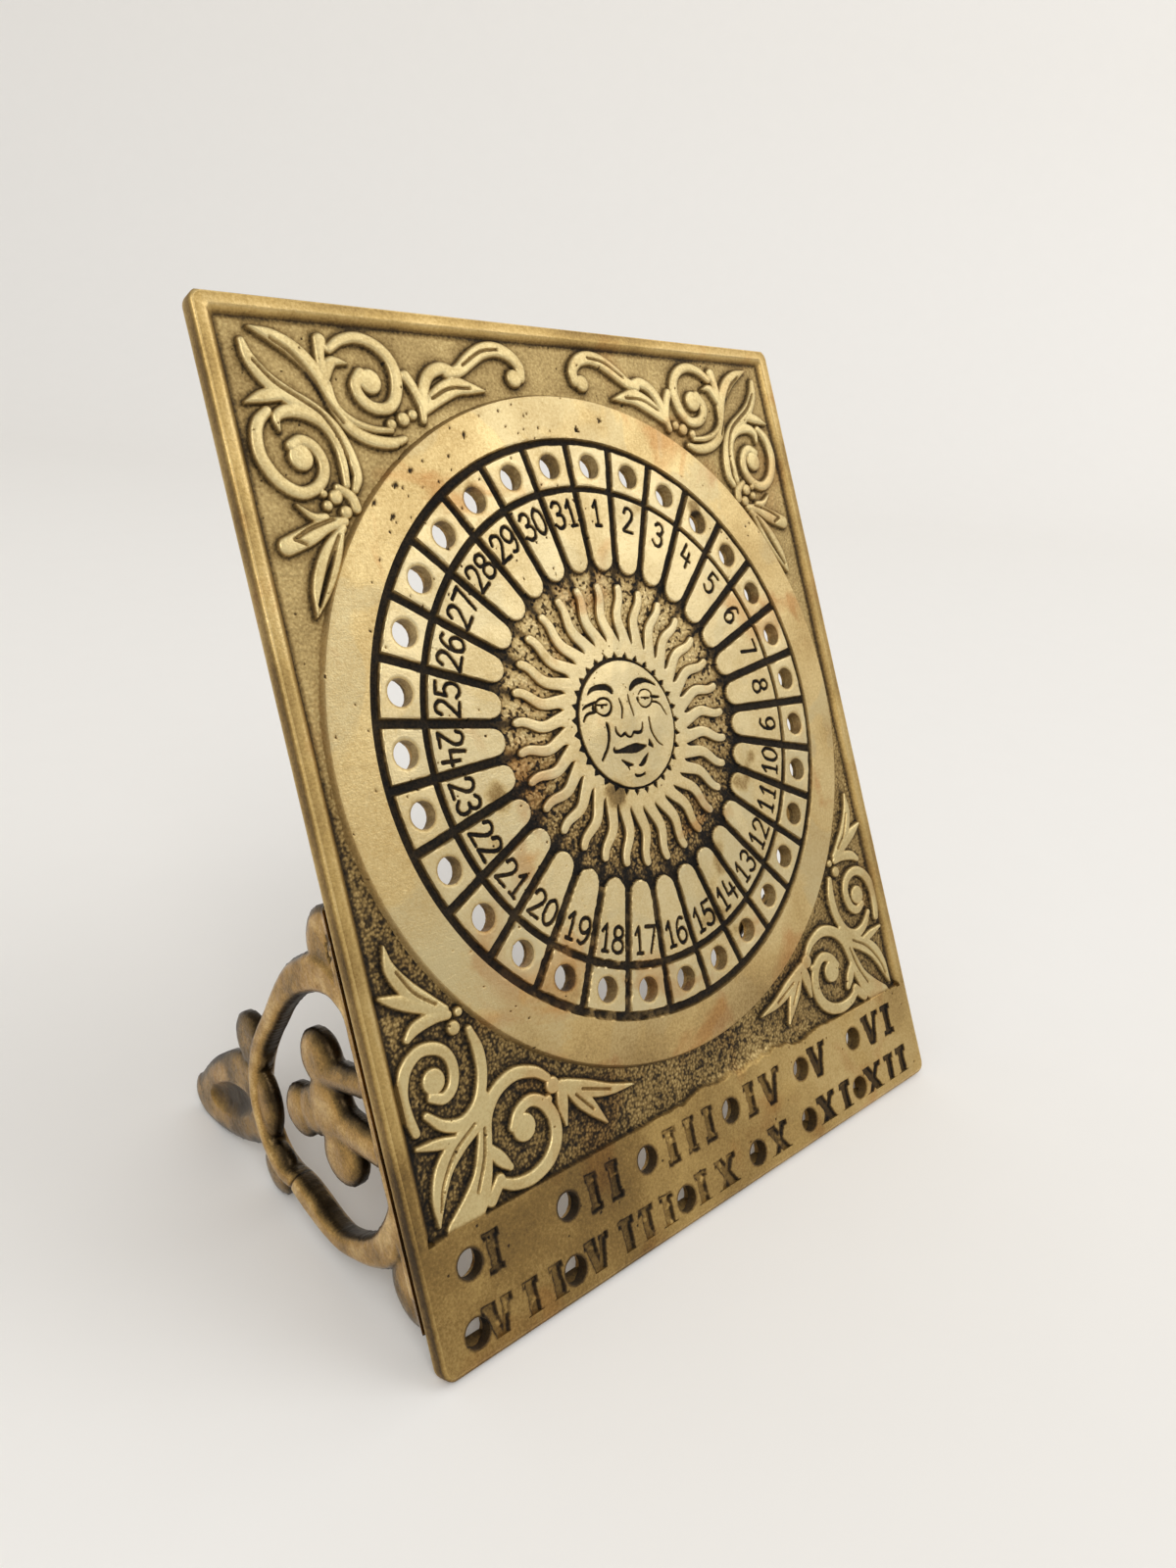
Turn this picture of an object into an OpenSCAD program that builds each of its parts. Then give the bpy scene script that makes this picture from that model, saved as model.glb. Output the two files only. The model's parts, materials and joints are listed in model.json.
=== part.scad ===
// Sundial calendar: a cast brass plate that leans back on two openwork wings, each hung on two riveted pins.
// The plate is drawn flat, x across, y up the plate and z out of its front, and is then leant back onto z = 0.
// A wing is drawn by its depth behind the plate's front and its height up the plate.

/* [Plate] */
// Width of the plate
plate_w = 117; // [112:0.5:124]
// Height of the plate
plate_h = 145; // [141:0.5:152]
// Thickness of the plate at its rim
plate_t = 3; // [2.6:0.1:3.6]
// Radius of the plate's corners
corner_r = 4; // [3.8:0.1:5]
// Width of the raised rim
rim_w = 3.1; // [2.6:0.1:3.6]
// Radius of the rim's outer shoulder
rim_round = 1.1; // [0.8:0.05:1.2]
// Radius of the plate's back edge
back_round = 0.8; // [0.5:0.05:1]
// Depth of the field below the rim and the relief
field_depth = 1; // [0.7:0.05:1.2]

/* [Dial] */
// Height of the dial's centre up the plate
dial_up = 79.4; // [77:0.1:82]
// Radius of the raised ring
ring_r = 54.4; // [52:0.1:54.8]
// Number of days, cells and sun rays
days = 31; // [28:1:31]
// Radius of the circle on which the day holes lie
day_pitch_r = 42.6; // [42:0.1:43.2]
// Diameter of a peg hole
peg_d = 4; // [3.4:0.1:4.4]
// Middle radius of the groove outside the day holes
outer_groove_r = 46.5; // [46.2:0.1:47]
// Middle radius of the groove inside the day holes
inner_groove_r = 38.8; // [38:0.1:39]
// Width of the grooves between the cells
groove_w = 1; // [0.7:0.05:1.2]
// Depth of the grooves and of the ground round the sun
groove_depth = 0.8; // [0.5:0.05:1]
// Radius from the dial's centre to the rounded ends of the number cells
cell_end_r = 25.1; // [24.4:0.1:26]

/* [Sun] */
// Radius of the sun's body, from which the rays spring
sun_body_r = 13.6; // [13:0.1:14.5]
// Radius of the rays' tips
ray_tip_r = 23.3; // [22:0.1:23.8]
// Width of a ray where it springs from the sun
ray_root_w = 2.2; // [1.8:0.1:2.4]
// Width of a ray at its tip
ray_tip_w = 1.4; // [1.1:0.1:1.7]
// How far a ray's round tip swells beyond its sides
ray_swell = 0.08; // [0.04:0.02:0.2]
// Sideways swing of a ray's wave
ray_swing = 0.5; // [0.2:0.05:0.6]
// Length of one wave along a ray
ray_wave = 8.2; // [7:0.1:10]
// Distance from a ray's tip back to its last crest
ray_crest = 1.6; // [1:0.1:2.4]
// Radius of the face
face_r = 10.7; // [10:0.1:11.2]
// Radius of the saw-toothed groove's tips round the face
tooth_tip_r = 11.9; // [11.5:0.1:12.4]
// Width of a saw tooth at its root
tooth_w = 1.55; // [1:0.05:1.8]
// Width of the line round the face, from which the teeth rise
face_line_w = 0.45; // [0.3:0.05:0.6]
// Depth of that line and of its teeth
tooth_depth = 0.5; // [0.3:0.05:0.6]

/* [Months] */
// Height of the month band's upper edge up the plate
band_top = 18.4; // [17.5:0.1:19]
// Height of the upper row of month holes
month_row_upper = 13.2; // [12.8:0.1:13.6]
// Height of the lower row of month holes
month_row_lower = 4.2; // [4:0.1:4.6]
// Distances of the upper row's holes from the plate's left edge
month_upper_x = [7.5, 25.3, 41.8, 61.8, 81.1, 97.2];
// Distances of the lower row's holes from the plate's left edge
month_lower_x = [6.3, 24.1, 47.9, 65.9, 80.4, 96.1];

/* [Corner scrolls] */
// Height of the scrolls above the sunk field
scroll_h = 0.85; // [0.5:0.05:0.95]
// Straight steps along each leaf or stem
ribbon_steps = 7; // [5:1:12]
// Straight steps along each curl
curl_steps = 16; // [12:1:24]

/* [Top scrolls] */
// Each leaf or stem has a start, a bend and an end, as [from the side, from the top, half width]
top_leaf = [[7, 3.6, 0.4], [14.5, 5.2, 2.6], [17, 12.8, 1.1]];
// Stem from that leaf to the berries beside the ring
top_stem = [[17, 12.3, 1.1], [17.9, 19.9, 1.1], [27.5, 19.3, 0.8]];
// Leaf beside the plate's side
side_leaf = [[6.1, 4.8, 0.4], [6.3, 11.1, 2.6], [13.6, 14.6, 1.5]];
// Stem from the side leaf down to the tongue
side_stem = [[13.1, 14.3, 1.5], [19.3, 17.5, 1.1], [18.3, 26.2, 0.8]];
// Rising half of the hook beside the plate's middle
hook_rise = [[38.3, 9.1, 0.9], [43.3, 4.6, 1.5], [49.1, 4.6, 1.3]];
// Falling half of the hook
hook_fall = [[48.6, 4.6, 1.3], [53.8, 4.8, 1.2], [52.6, 8.8, 1.1]];
// Leaf beside the ring
inner_leaf = [[32.3, 15.6, 0.7], [36.2, 9.5, 2.2], [44.7, 11.4, 0.4]];
// Stem beside that leaf
inner_stem = [[32.1, 16.3, 0.7], [33.3, 8.7, 1.2], [40, 8.5, 0.9]];
// Bud between the two curls
bud = [[17.7, 5.1, 1.2], [17.7, 8.1, 1.2], [16.5, 10.9, 0.7]];
// Short leaf at the plate's side
spur = [[4.5, 14.7, 0.4], [8.1, 13.3, 1.4], [11.3, 14, 1.1]];
// Short tongue at the scroll's lower end
tongue = [[15.8, 29.7, 0.9], [11.6, 30.2, 1.6], [5.2, 33.5, 1.3]];
// Long pointed leaf at the scroll's lower end
tail = [[15.3, 30.4, 0.9], [8.6, 33.9, 2], [6.9, 41.9, 0.4]];
// Middle of the inner curl, from the side and from the top
top_curl_at = [24.5, 10.6];
// Radius of that curl's middle line, at its eye and at its end
top_curl_r = [2.6, 6.7];
// Middle of the curl beside the plate's side
side_curl_at = [10.5, 22.1];
// Radius of that curl's middle line, at its eye and at its end
side_curl_r = [2.2, 6.3];
// Berries of a top scroll, as [from the side, from the top, radius]
top_berries = [[51.2, 9.1, 1.6], [28.5, 16.3, 1.5], [14.9, 28.1, 1.6]];

/* [Bottom scrolls] */
// Each leaf or stem has a start, a bend and an end, as [from the side, above the month band, half width]
low_tongue = [[4, 32.4, 0.5], [6.9, 31, 1.4], [13.1, 27.9, 0.8]];
// Long pointed leaf at the scroll's upper end
low_tail = [[5.8, 38.9, 0.4], [6.2, 31.1, 2.2], [13.3, 27.6, 0.9]];
// Stem from the berry down to the leaf
low_side_stem = [[15.9, 25, 0.7], [17.7, 15.8, 1.3], [11.8, 12.7, 1.1]];
// Its hooked end
low_side_hook = [[12.3, 12.7, 1.1], [8.5, 12.2, 1.1], [6.4, 15.6, 0.7]];
// Long leaf down the plate's side
low_leaf = [[15.6, 14.5, 0.8], [5.1, 10.6, 2.8], [4.7, 1.2, 0.4]];
// Thick root that rises from the month band
root = [[5.5, -0.7, 1.8], [13.5, 1.4, 2.3], [14.3, 9.4, 1.4]];
// Stem from the root
low_stem = [[14.3, 9, 1.4], [15.3, 16.1, 1.2], [22.1, 15.8, 1.1]];
// End of that stem
low_stem_end = [[21.6, 15.9, 1.1], [25, 16.1, 1.1], [27.3, 12.9, 0.8]];
// Leaf on the ring's side of the inner curl
low_inner_leaf = [[29.6, 11.7, 0.9], [32.7, 7.6, 2.1], [36, 3.1, 0.4]];
// Long thin leaf towards the plate's middle
low_inner_tail = [[29.9, 11.5, 0.9], [35, 8, 2], [42.5, 6.6, 0.4]];
// Middle of the inner curl, from the side and above the month band
low_curl_at = [21.3, 7.6];
// Radius of that curl's middle line, at its eye and at its end
low_curl_r = [2.5, 7.3];
// Middle of the curl beside the plate's side
low_side_curl_at = [8.5, 19.5];
// Radius of that curl's middle line, at its eye and at its end
low_side_curl_r = [2, 5.5];
// Berries of a bottom scroll, as [from the side, above the month band, radius]
low_berries = [[14.2, 26, 1.4], [27.7, 12, 1.4]];

/* [Curls] */
// Radius of a curl's eye
eye_r = 2; // [1.7:0.1:2.3]
// Half width of a curl's line
curl_half = 1.1; // [0.8:0.1:1.3]

/* [Wings] */
// Thickness of a wing
wing_t = 4; // [3.4:0.1:4.6]
// Radius of a wing's outer edges
wing_round = 1.4; // [0.8:0.1:1.6]
// Width of the spine that closes a wing along the plate
spine_w = 2.4; // [2:0.1:3]
// Clearance between the spine and the plate's back
seat_gap = 0.2; // [0.1:0.05:0.3]
// Centre of the upper arch's outer edge: depth, height
arch_outer = [11.7, 37.5];
// Radius of the upper arch's outer edge
arch_outer_r = 20.6; // [20:0.1:21.2]
// Centre of the upper arch's inner edge: depth, height
arch_inner = [13.5, 36.7];
// Radius of the upper arch's inner edge
arch_inner_r = 16.4; // [16:0.1:17]
// Centre of the rear curve's outer edge: depth, height
rear_outer = [26.2, 34.4];
// Radius of the rear curve's outer edge
rear_outer_r = 15.7; // [15.2:0.1:16.2]
// Centre of the rear curve's inner edge: depth, height
rear_inner = [25.8, 33.8];
// Radius of the rear curve's inner edge
rear_inner_r = 12.4; // [12:0.1:12.8]
// Centre of the lower limb's outer edge: depth, height
limb_outer = [17, 32];
// Radius of the lower limb's outer edge
limb_outer_r = 19.2; // [18.6:0.1:19.8]
// Centre of the lower limb's inner edge: depth, height
limb_inner = [17.4, 31.2];
// Radius of the lower limb's inner edge
limb_inner_r = 14.1; // [13.6:0.1:14.6]

/* [Leaf and lobes] */
// Centres of the leaf's four lobes: depth, height
leaf_at = [[15.6, 41.6], [25, 32.8], [16.7, 28.7], [17, 35.2]];
// Radii of the leaf's lobes
leaf_r = [5.5, 5.2, 5.3, 5.9];
// Heights at which the leaf's two stems leave the spine
stem_root = [40.6, 29];
// Points inside the leaf at which the stems end: depth, height
stem_end = [[14, 39.6], [14, 32.4]];
// Widths of the stems
stem_w = [2.8, 3.6];
// Centres of the round lobes along a wing's outer edge, the spine's two ends first: depth, height
lobe_at = [[5, 11.6], [5, 58.9], [34.6, 45.5], [38.6, 43.6], [37.9, 24.9]];
// Radii of these lobes
lobe_r = [5, 5.6, 3.6, 4.1, 4.2];

/* [Foot] */
// Depth at which the teardrop foot is highest
foot_mid = 45.7; // [44:0.1:47]
// Height of the foot's belly line at that depth
foot_low = 26.8; // [26:0.1:27.6]
// Height of the foot's back line at that depth
foot_high = 42.7; // [42:0.1:43.4]
// Radius of the foot's lower edge
foot_low_r = 45.9; // [42:0.5:50]
// Radius of the foot's upper edge
foot_high_r = 31.6; // [30:0.5:34]
// Centre of the foot's round tip: depth, height
tip = [62.4, 33.9];
// Radius of the foot's round tip
tip_r = 3.75; // [3.4:0.05:4]
// Where the thumb-shaped hollow in the foot's outer face begins: depth, height
hollow_at = [45.3, 34];
// Length of the hollow between its round ends' centres
hollow_l = 10.8; // [8:0.2:12]
// Radius of the hollow's rounded bottom
hollow_r = 3.6; // [3:0.1:4.2]
// Depth of the hollow
hollow_depth = 1.3; // [0.8:0.1:1.6]
// How much is ground off the foot and the plate's edge where they stand
stand_flat = 0.2; // [0.1:0.05:0.3]

/* [Hinges] */
// Radius of a hinge knuckle
knuckle_r = 2.3; // [2.1:0.05:2.5]
// Length of a wing's knuckle
knuckle_l = 5; // [4:0.1:6]
// Length of each of the plate's lugs
lug_l = 3.2; // [2.8:0.1:4]
// Heights of the two hinges up the plate
hinge_up = [21.9, 58.9];
// Diameter of a hinge pin
pin_d = 2.2; // [1.8:0.1:2.4]
// Radial clearance of the pin in the wing's knuckle
pin_fit = 0.06; // [0.02:0.01:0.1]
// Radial clearance of the pin in the plate's lugs
lug_fit = 0.02; // [0.01:0.01:0.05]
// Clearance at a knuckle's ends, and round it
knuckle_gap = 0.35; // [0.3:0.05:0.5]
// Thickness of a pin's riveted head
head_t = 0.8; // [0.5:0.1:1.2]
// How far a pin's head stands out round the pin
head_lip = 0.5; // [0.3:0.1:0.8]

/* [Hidden] */
$fn = 96;
brass = "#b08d4a";
aged_brass = "#86693a";
pin_brass = "#9a7a40";
eps = 0.01;
spare = 1;
cell_angle = 360 / days;

// Hinge axis, behind the plate and inside the wing
wing_inner_x = plate_w / 2 - wing_t;
axis_x = wing_inner_x - knuckle_gap - knuckle_r;
axis_d = plate_t + knuckle_gap + knuckle_r;

// The floor touches the back edge's rounding and the foot's tip, and that sets the lean
rise = tip[1] - back_round;
run = tip[0] - (plate_t - back_round);
lean = acos((tip_r - back_round) / norm([rise, run])) - atan2(run, rise);
lift = (plate_t - back_round) * sin(lean) - back_round * cos(lean) + back_round - stand_flat;
rear_reach = tip[1] * sin(lean) + tip[0] * cos(lean) + tip_r;
front_reach = rim_round * (sin(lean) + cos(lean) - 1);
middle_y = (rear_reach + front_reach) / 2;

function polar(r, a) = [r * sin(a), r * cos(a)];

// Stands a part drawn in the plate's flat frame on z = 0, with the origin under the middle of the whole
module stand_up() {
    translate([0, -middle_y, lift]) rotate([90 - lean, 0, 0]) children();
}

// Cuts off what reaches below the floor
module on_floor() {
    difference() {
        stand_up() children();
        translate([-plate_w, -plate_h, -plate_h]) cube([2 * plate_w, 2 * plate_h, plate_h]);
    }
}

module rounded_rect(w, h, r) {
    square([w - 2 * r, h], center = true);
    square([w, h - 2 * r], center = true);
    for (x = [-1, 1], y = [-1, 1]) translate([x * (w / 2 - r), y * (h / 2 - r)]) circle(r);
}

// Section of the rim: t inwards from the plate's edge, z from its back to its crown
module rim_section() {
    shoulder = rim_round;
    translate([shoulder, -plate_t]) square([rim_w - field_depth - shoulder, plate_t]);
    translate([0, -plate_t + back_round]) square([2 * shoulder, plate_t - back_round - shoulder]);
    translate([shoulder, -shoulder]) circle(shoulder);
    translate([back_round, -plate_t + back_round]) circle(back_round);
    translate([back_round, -plate_t]) square([shoulder, plate_t - shoulder]);
    polygon([[rim_w - field_depth - eps, 0], [rim_w, -field_depth], [rim_w - field_depth - eps, -field_depth]]);
}

// One side of the rim, running along y at the edge x = 0
module rim_side(length) {
    rotate([90, 0, 0]) translate([0, 0, -length / 2]) linear_extrude(length) rim_section();
}

module rim_corner() {
    rotate_extrude(angle = 90) translate([corner_r, 0]) mirror([1, 0]) rim_section();
}

module rim() {
    for (s = [0, 1]) mirror([s, 0, 0]) {
        translate([-plate_w / 2, 0, 0]) rim_side(plate_h - 2 * corner_r);
        for (v = [0, 1]) mirror([0, v, 0])
            translate([plate_w / 2 - corner_r, plate_h / 2 - corner_r, 0]) rim_corner();
    }
    for (a = [90, 270]) rotate([0, 0, a]) translate([-plate_h / 2, 0, 0]) rim_side(plate_w - 2 * corner_r);
}

// Slab under the field, with its own edge hidden inside the rim
module slab() {
    inset = rim_round;
    translate([0, 0, -plate_t]) linear_extrude(plate_t - field_depth)
        rounded_rect(plate_w - 2 * inset, plate_h - 2 * inset, corner_r - inset);
}

// A point on a bent line, and the line's way there
function bend(p, t) = (1 - t) * (1 - t) * p[0] + 2 * t * (1 - t) * p[1] + t * t * p[2];
function bend_way(p, t) = (1 - t) * (p[1] - p[0]) + t * (p[2] - p[1]);

// A point w to the left of a bent line
function bend_side(p, t, w) =
    let (c = bend(p, t), way = bend_way(p, t))
    [c[0], c[1]] + w * c[2] * [-way[1], way[0]] / norm([way[0], way[1]]);

// A leaf or stem: a bent line that widens and narrows
module ribbon(p) {
    n = ribbon_steps;
    polygon(concat(
        [for (i = [0:n]) bend_side(p, i / n, 1)],
        [for (i = [n:-1:0]) bend_side(p, i / n, -1)]
    ));
}

// A curl that opens from its eye; r and a are the line's radii and angles at the eye and at the end
module curl(at, r, a) {
    n = curl_steps;
    function station(i, w) = at + polar(r[0] + (r[1] - r[0]) * i / n + w, a[0] + (a[1] - a[0]) * i / n);
    polygon(concat(
        [for (i = [0:n]) station(i, curl_half)],
        [for (i = [n:-1:0]) station(i, -curl_half)]
    ));
    translate(at) circle(eye_r);
}

module top_scroll() {
    for (p = [top_leaf, top_stem, side_leaf, side_stem, hook_rise, hook_fall, inner_leaf, inner_stem])
        ribbon(p);
    for (p = [bud, spur, tongue, tail]) ribbon(p);
    curl(top_curl_at, top_curl_r, [-67, 237]);
    curl(side_curl_at, side_curl_r, [200, -155]);
    for (b = top_berries) translate([b[0], b[1]]) circle(b[2]);
}

module low_scroll() {
    for (p = [low_tongue, low_tail, low_side_stem, low_side_hook, low_leaf]) ribbon(p);
    for (p = [root, low_stem, low_stem_end, low_inner_leaf, low_inner_tail]) ribbon(p);
    curl(low_curl_at, low_curl_r, [-55, 227]);
    curl(low_side_curl_at, low_side_curl_r, [197, -143]);
    for (b = low_berries) translate([b[0], b[1]]) circle(b[2]);
}

// Raised scrolls in the field's four corners
module corner_scrolls() {
    sunk = 2 * eps;
    for (s = [0, 1]) mirror([s, 0, 0]) translate([-plate_w / 2, 0, -field_depth - sunk]) {
        translate([0, plate_h, 0]) mirror([0, 1, 0]) linear_extrude(scroll_h + sunk) top_scroll();
        translate([0, band_top, 0]) linear_extrude(scroll_h + sunk) low_scroll();
    }
}

module month_band() {
    inset = rim_w - field_depth - eps;
    translate([inset - plate_w / 2, inset, -field_depth - eps])
        cube([plate_w - 2 * inset, band_top - inset, field_depth + eps]);
}

module ring_groove(r) {
    difference() {
        cylinder(h = groove_depth + eps, r = r + groove_w / 2);
        translate([0, 0, -eps]) cylinder(h = groove_depth + 3 * eps, r = r - groove_w / 2);
    }
}

// Grooves between the day cells, and the sunken ground inside the cells' rounded ends
module dial_cuts() {
    end_r = PI * cell_end_r / days - groove_w / 2;
    ends_at = cell_end_r + end_r;
    translate([0, 0, -groove_depth]) {
        ring_groove(outer_groove_r);
        ring_groove(inner_groove_r);
        for (i = [0:days - 1]) rotate([0, 0, -i * cell_angle])
            translate([-groove_w / 2, ends_at - end_r / 2, 0])
                cube([groove_w, outer_groove_r - ends_at + end_r / 2, groove_depth + eps]);
        difference() {
            cylinder(h = groove_depth + eps, r = ends_at);
            for (i = [0:days - 1]) rotate([0, 0, -(i + 0.5) * cell_angle])
                translate([0, ends_at, -eps]) cylinder(h = groove_depth + 3 * eps, r = end_r);
        }
    }
}

// Middle line of a ray, as the sideways offset at radius r
function ray_offset(r) = ray_swing * cos(360 * (r - ray_tip_r + ray_crest) / ray_wave);

// Half the width of a ray: broad where it springs from the sun, a little slimmer at the tip
function ray_half(r) =
    (ray_root_w + (ray_tip_w - ray_root_w) * (r - sun_body_r) / (ray_tip_r - sun_body_r)) / 2;

module ray() {
    end_r = ray_tip_r - ray_half(ray_tip_r) - ray_swell;
    steps = 12;
    root_r = sun_body_r - spare;
    stations = [for (i = [0:steps]) root_r + (end_r - root_r) * i / steps];
    polygon(concat([for (r = stations) [ray_offset(r) - ray_half(r), r]],
                   [for (i = [steps:-1:0]) [ray_offset(stations[i]) + ray_half(stations[i]), stations[i]]]));
    translate([ray_offset(end_r), end_r]) circle(ray_half(end_r) + ray_swell);
}

// A tooth whose tip leans clockwise
module saw_tooth() {
    half = tooth_w / 2;
    polygon([[-half, face_r - eps], [half, face_r - eps], [half / 2, tooth_tip_r]]);
}

// Sun with its face disc, a saw-toothed groove round the face, and one wavy ray for each day
module sun() {
    translate([0, 0, -groove_depth - eps]) difference() {
        linear_extrude(groove_depth + eps) {
            circle(sun_body_r);
            for (i = [0:days - 1]) rotate(-i * cell_angle) ray();
        }
        translate([0, 0, groove_depth + eps - tooth_depth]) linear_extrude(tooth_depth + spare) {
            for (i = [0:days - 1]) rotate(-i * cell_angle) saw_tooth();
            difference() {
                circle(face_r + face_line_w / 2);
                circle(face_r - face_line_w / 2);
            }
        }
    }
}

module dial() {
    difference() {
        translate([0, 0, -field_depth - eps]) cylinder(h = field_depth + eps, r = ring_r);
        dial_cuts();
    }
    sun();
}

module peg_holes() {
    module hole() translate([0, 0, -plate_t - spare]) cylinder(h = plate_t + 2 * spare, d = peg_d);
    for (i = [0:days - 1])
        translate([0, dial_up, 0]) rotate([0, 0, -(i + 0.5) * cell_angle]) translate([0, day_pitch_r, 0]) hole();
    for (x = month_upper_x) translate([x - plate_w / 2, month_row_upper, 0]) hole();
    for (x = month_lower_x) translate([x - plate_w / 2, month_row_lower, 0]) hole();
}

// A lug on the plate's back at height up, bored for the pin
module lug(up) {
    translate([axis_x, up, -axis_d]) difference() {
        union() {
            rotate([-90, 0, 0]) cylinder(h = lug_l, r = knuckle_r);
            translate([-knuckle_r, 0, 0]) cube([2 * knuckle_r, lug_l, axis_d - plate_t + eps]);
        }
        translate([0, -eps, 0]) rotate([-90, 0, 0]) cylinder(h = lug_l + 2 * eps, d = pin_d + 2 * lug_fit);
    }
}

module lugs() {
    for (s = [0, 1], up = hinge_up) mirror([s, 0, 0]) {
        lug(up + knuckle_l / 2 + knuckle_gap);
        lug(up - knuckle_l / 2 - knuckle_gap - lug_l);
    }
}

module calendar_plate() {
    color(brass) on_floor() {
        difference() {
            union() {
                translate([0, plate_h / 2, 0]) {
                    slab();
                    rim();
                }
                month_band();
                corner_scrolls();
                translate([0, dial_up, 0]) dial();
            }
            peg_holes();
        }
        lugs();
    }
}

// Half section of a disc of radius r with rounded edges
module disc_section(r) {
    square([r - wing_round, wing_t]);
    translate([0, wing_round]) square([r, wing_t - 2 * wing_round]);
    for (z = [wing_round, wing_t - wing_round]) translate([r - wing_round, z]) circle(wing_round, $fn = 48);
}

// Disc at a depth and height, with rounded edges
module disc(at, r) {
    translate([at[0], at[1], 0]) rotate_extrude() intersection() {
        disc_section(r);
        square([r + spare, wing_t]);
    }
}

// Opening whose edges are rounded over, as the tool that cuts it out
module opening(at, r) {
    lip = r + wing_round;
    translate([at[0], at[1], 0]) rotate_extrude() difference() {
        translate([0, -eps]) square([lip, wing_t + 2 * eps]);
        translate([r, wing_round]) square([lip, wing_t - 2 * wing_round]);
        for (z = [wing_round, wing_t - wing_round]) translate([lip, z]) circle(wing_round, $fn = 48);
    }
}

// Bar with rounded sides from one point to another
module bar(from, to, w) {
    along = to - from;
    translate([from[0], from[1], 0]) rotate([0, 0, atan2(along[1], along[0])]) rotate([90, 0, 90])
        linear_extrude(norm(along)) translate([-w / 2, 0]) {
            soft = min(wing_round, w / 2 - eps);
            translate([soft, 0]) square([w - 2 * soft, wing_t]);
            translate([0, soft]) square([w, wing_t - 2 * soft]);
            for (x = [soft, w - soft], z = [soft, wing_t - soft]) translate([x, z]) circle(soft, $fn = 48);
        }
}

// Slab of the wing's thickness that keeps only depths from one value to another
module depths(from, to) {
    translate([from, -plate_h, -spare]) cube([to - from, 3 * plate_h, wing_t + 2 * spare]);
}

// Loop of three curves closed by the spine along the plate
module wing_loop() {
    spine_d = plate_t + seat_gap + spine_w;
    difference() {
        union() {
            disc(arch_outer, arch_outer_r);
            disc(rear_outer, rear_outer_r);
            disc(limb_outer, limb_outer_r);
        }
        difference() {
            union() {
                opening(arch_inner, arch_inner_r);
                opening(rear_inner, rear_inner_r);
                opening(limb_inner, limb_inner_r);
            }
            depths(-plate_w, spine_d);
        }
    }
    bar([spine_d - spine_w / 2, lobe_at[0][1]], [spine_d - spine_w / 2, lobe_at[1][1]], spine_w);
}

// Leaf of four lobes inside the loop, held to the spine by two stems
module leaf() {
    root_d = plate_t + seat_gap + spine_w / 2;
    for (i = [0:len(leaf_r) - 1]) disc(leaf_at[i], leaf_r[i]);
    for (i = [0:len(stem_w) - 1]) bar([root_d, stem_root[i]], stem_end[i], stem_w[i]);
}

// Round lobes along the loop's outer edge
module lobes() {
    for (i = [0:len(lobe_r) - 1]) disc(lobe_at[i], lobe_r[i]);
}

// Teardrop foot: two large curves that close on a round tip, with a thumb-shaped hollow in its outer face
module foot() {
    root = rear_inner[0] + rear_inner_r + wing_round;
    difference() {
        union() {
            intersection() {
                disc([foot_mid, foot_high - foot_high_r], foot_high_r);
                disc([foot_mid, foot_low + foot_low_r], foot_low_r);
                depths(root, tip[0]);
            }
            disc(tip, tip_r);
        }
        hollow();
    }
}

// Thumb-shaped hollow in the foot's outer face
module hollow() {
    translate([hollow_at[0], hollow_at[1], hollow_depth - hollow_r]) {
        for (d = [0, hollow_l]) translate([d, 0, 0]) sphere(hollow_r, $fn = 48);
        rotate([0, 90, 0]) cylinder(h = hollow_l, r = hollow_r, $fn = 48);
    }
}

// Knuckle on the wing's inner face, in the frame of the left wing
module wing_knuckle(up) {
    l = knuckle_l;
    translate([-axis_x, up - l / 2, -axis_d]) difference() {
        union() {
            rotate([-90, 0, 0]) cylinder(h = l, r = knuckle_r);
            translate([axis_x - wing_inner_x - spare, 0, -knuckle_r])
                cube([wing_inner_x - axis_x + spare, l, 2 * knuckle_r - knuckle_gap]);
        }
        translate([0, -eps, 0]) rotate([-90, 0, 0]) cylinder(h = l + 2 * eps, d = pin_d + 2 * pin_fit);
    }
}

// The left wing, in the plate's flat frame
module wing() {
    difference() {
        translate([-plate_w / 2, 0, 0]) rotate([0, 90, 0]) {
            wing_loop();
            leaf();
            lobes();
            foot();
        }
        translate([-plate_w, -plate_h / 2, -plate_t - seat_gap]) cube([plate_w, 2 * plate_h, plate_w]);
    }
    for (up = hinge_up) wing_knuckle(up);
}

module hinge_pin(side, up) {
    l = knuckle_l + 2 * knuckle_gap + 2 * lug_l;
    head_r = pin_d / 2 + head_lip;
    color(pin_brass) stand_up() translate([side * axis_x, up, -axis_d]) rotate([-90, 0, 0]) {
        cylinder(h = l + 2 * eps, d = pin_d, center = true);
        for (s = [0, 1]) mirror([0, 0, s]) translate([0, 0, l / 2]) cylinder(h = head_t, r1 = head_r, r2 = pin_d / 2);
    }
}

calendar_plate();
color(aged_brass) on_floor() wing();  // wing_left
color(aged_brass) on_floor() mirror([1, 0, 0]) wing();  // wing_right
hinge_pin(-1, hinge_up[0]);  // hinge_pin_left_lower
hinge_pin(-1, hinge_up[1]);  // hinge_pin_left_upper
hinge_pin(1, hinge_up[0]);  // hinge_pin_right_lower
hinge_pin(1, hinge_up[1]);  // hinge_pin_right_upper
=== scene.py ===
"""A brass sundial calendar: a leaning plate with a sun dial of 31 day holes and twelve month holes,
held up by two cast wings that fold behind it on riveted pins."""

import json
from functools import partial
from math import ceil, cos, hypot, pi, radians, sin

import bmesh
import bpy
import numpy as np
from bpy.props import FloatProperty, FloatVectorProperty, IntProperty, PointerProperty
from mathutils import Matrix, Vector
from mathutils.geometry import delaunay_2d_cdt, tessellate_polygon


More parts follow.
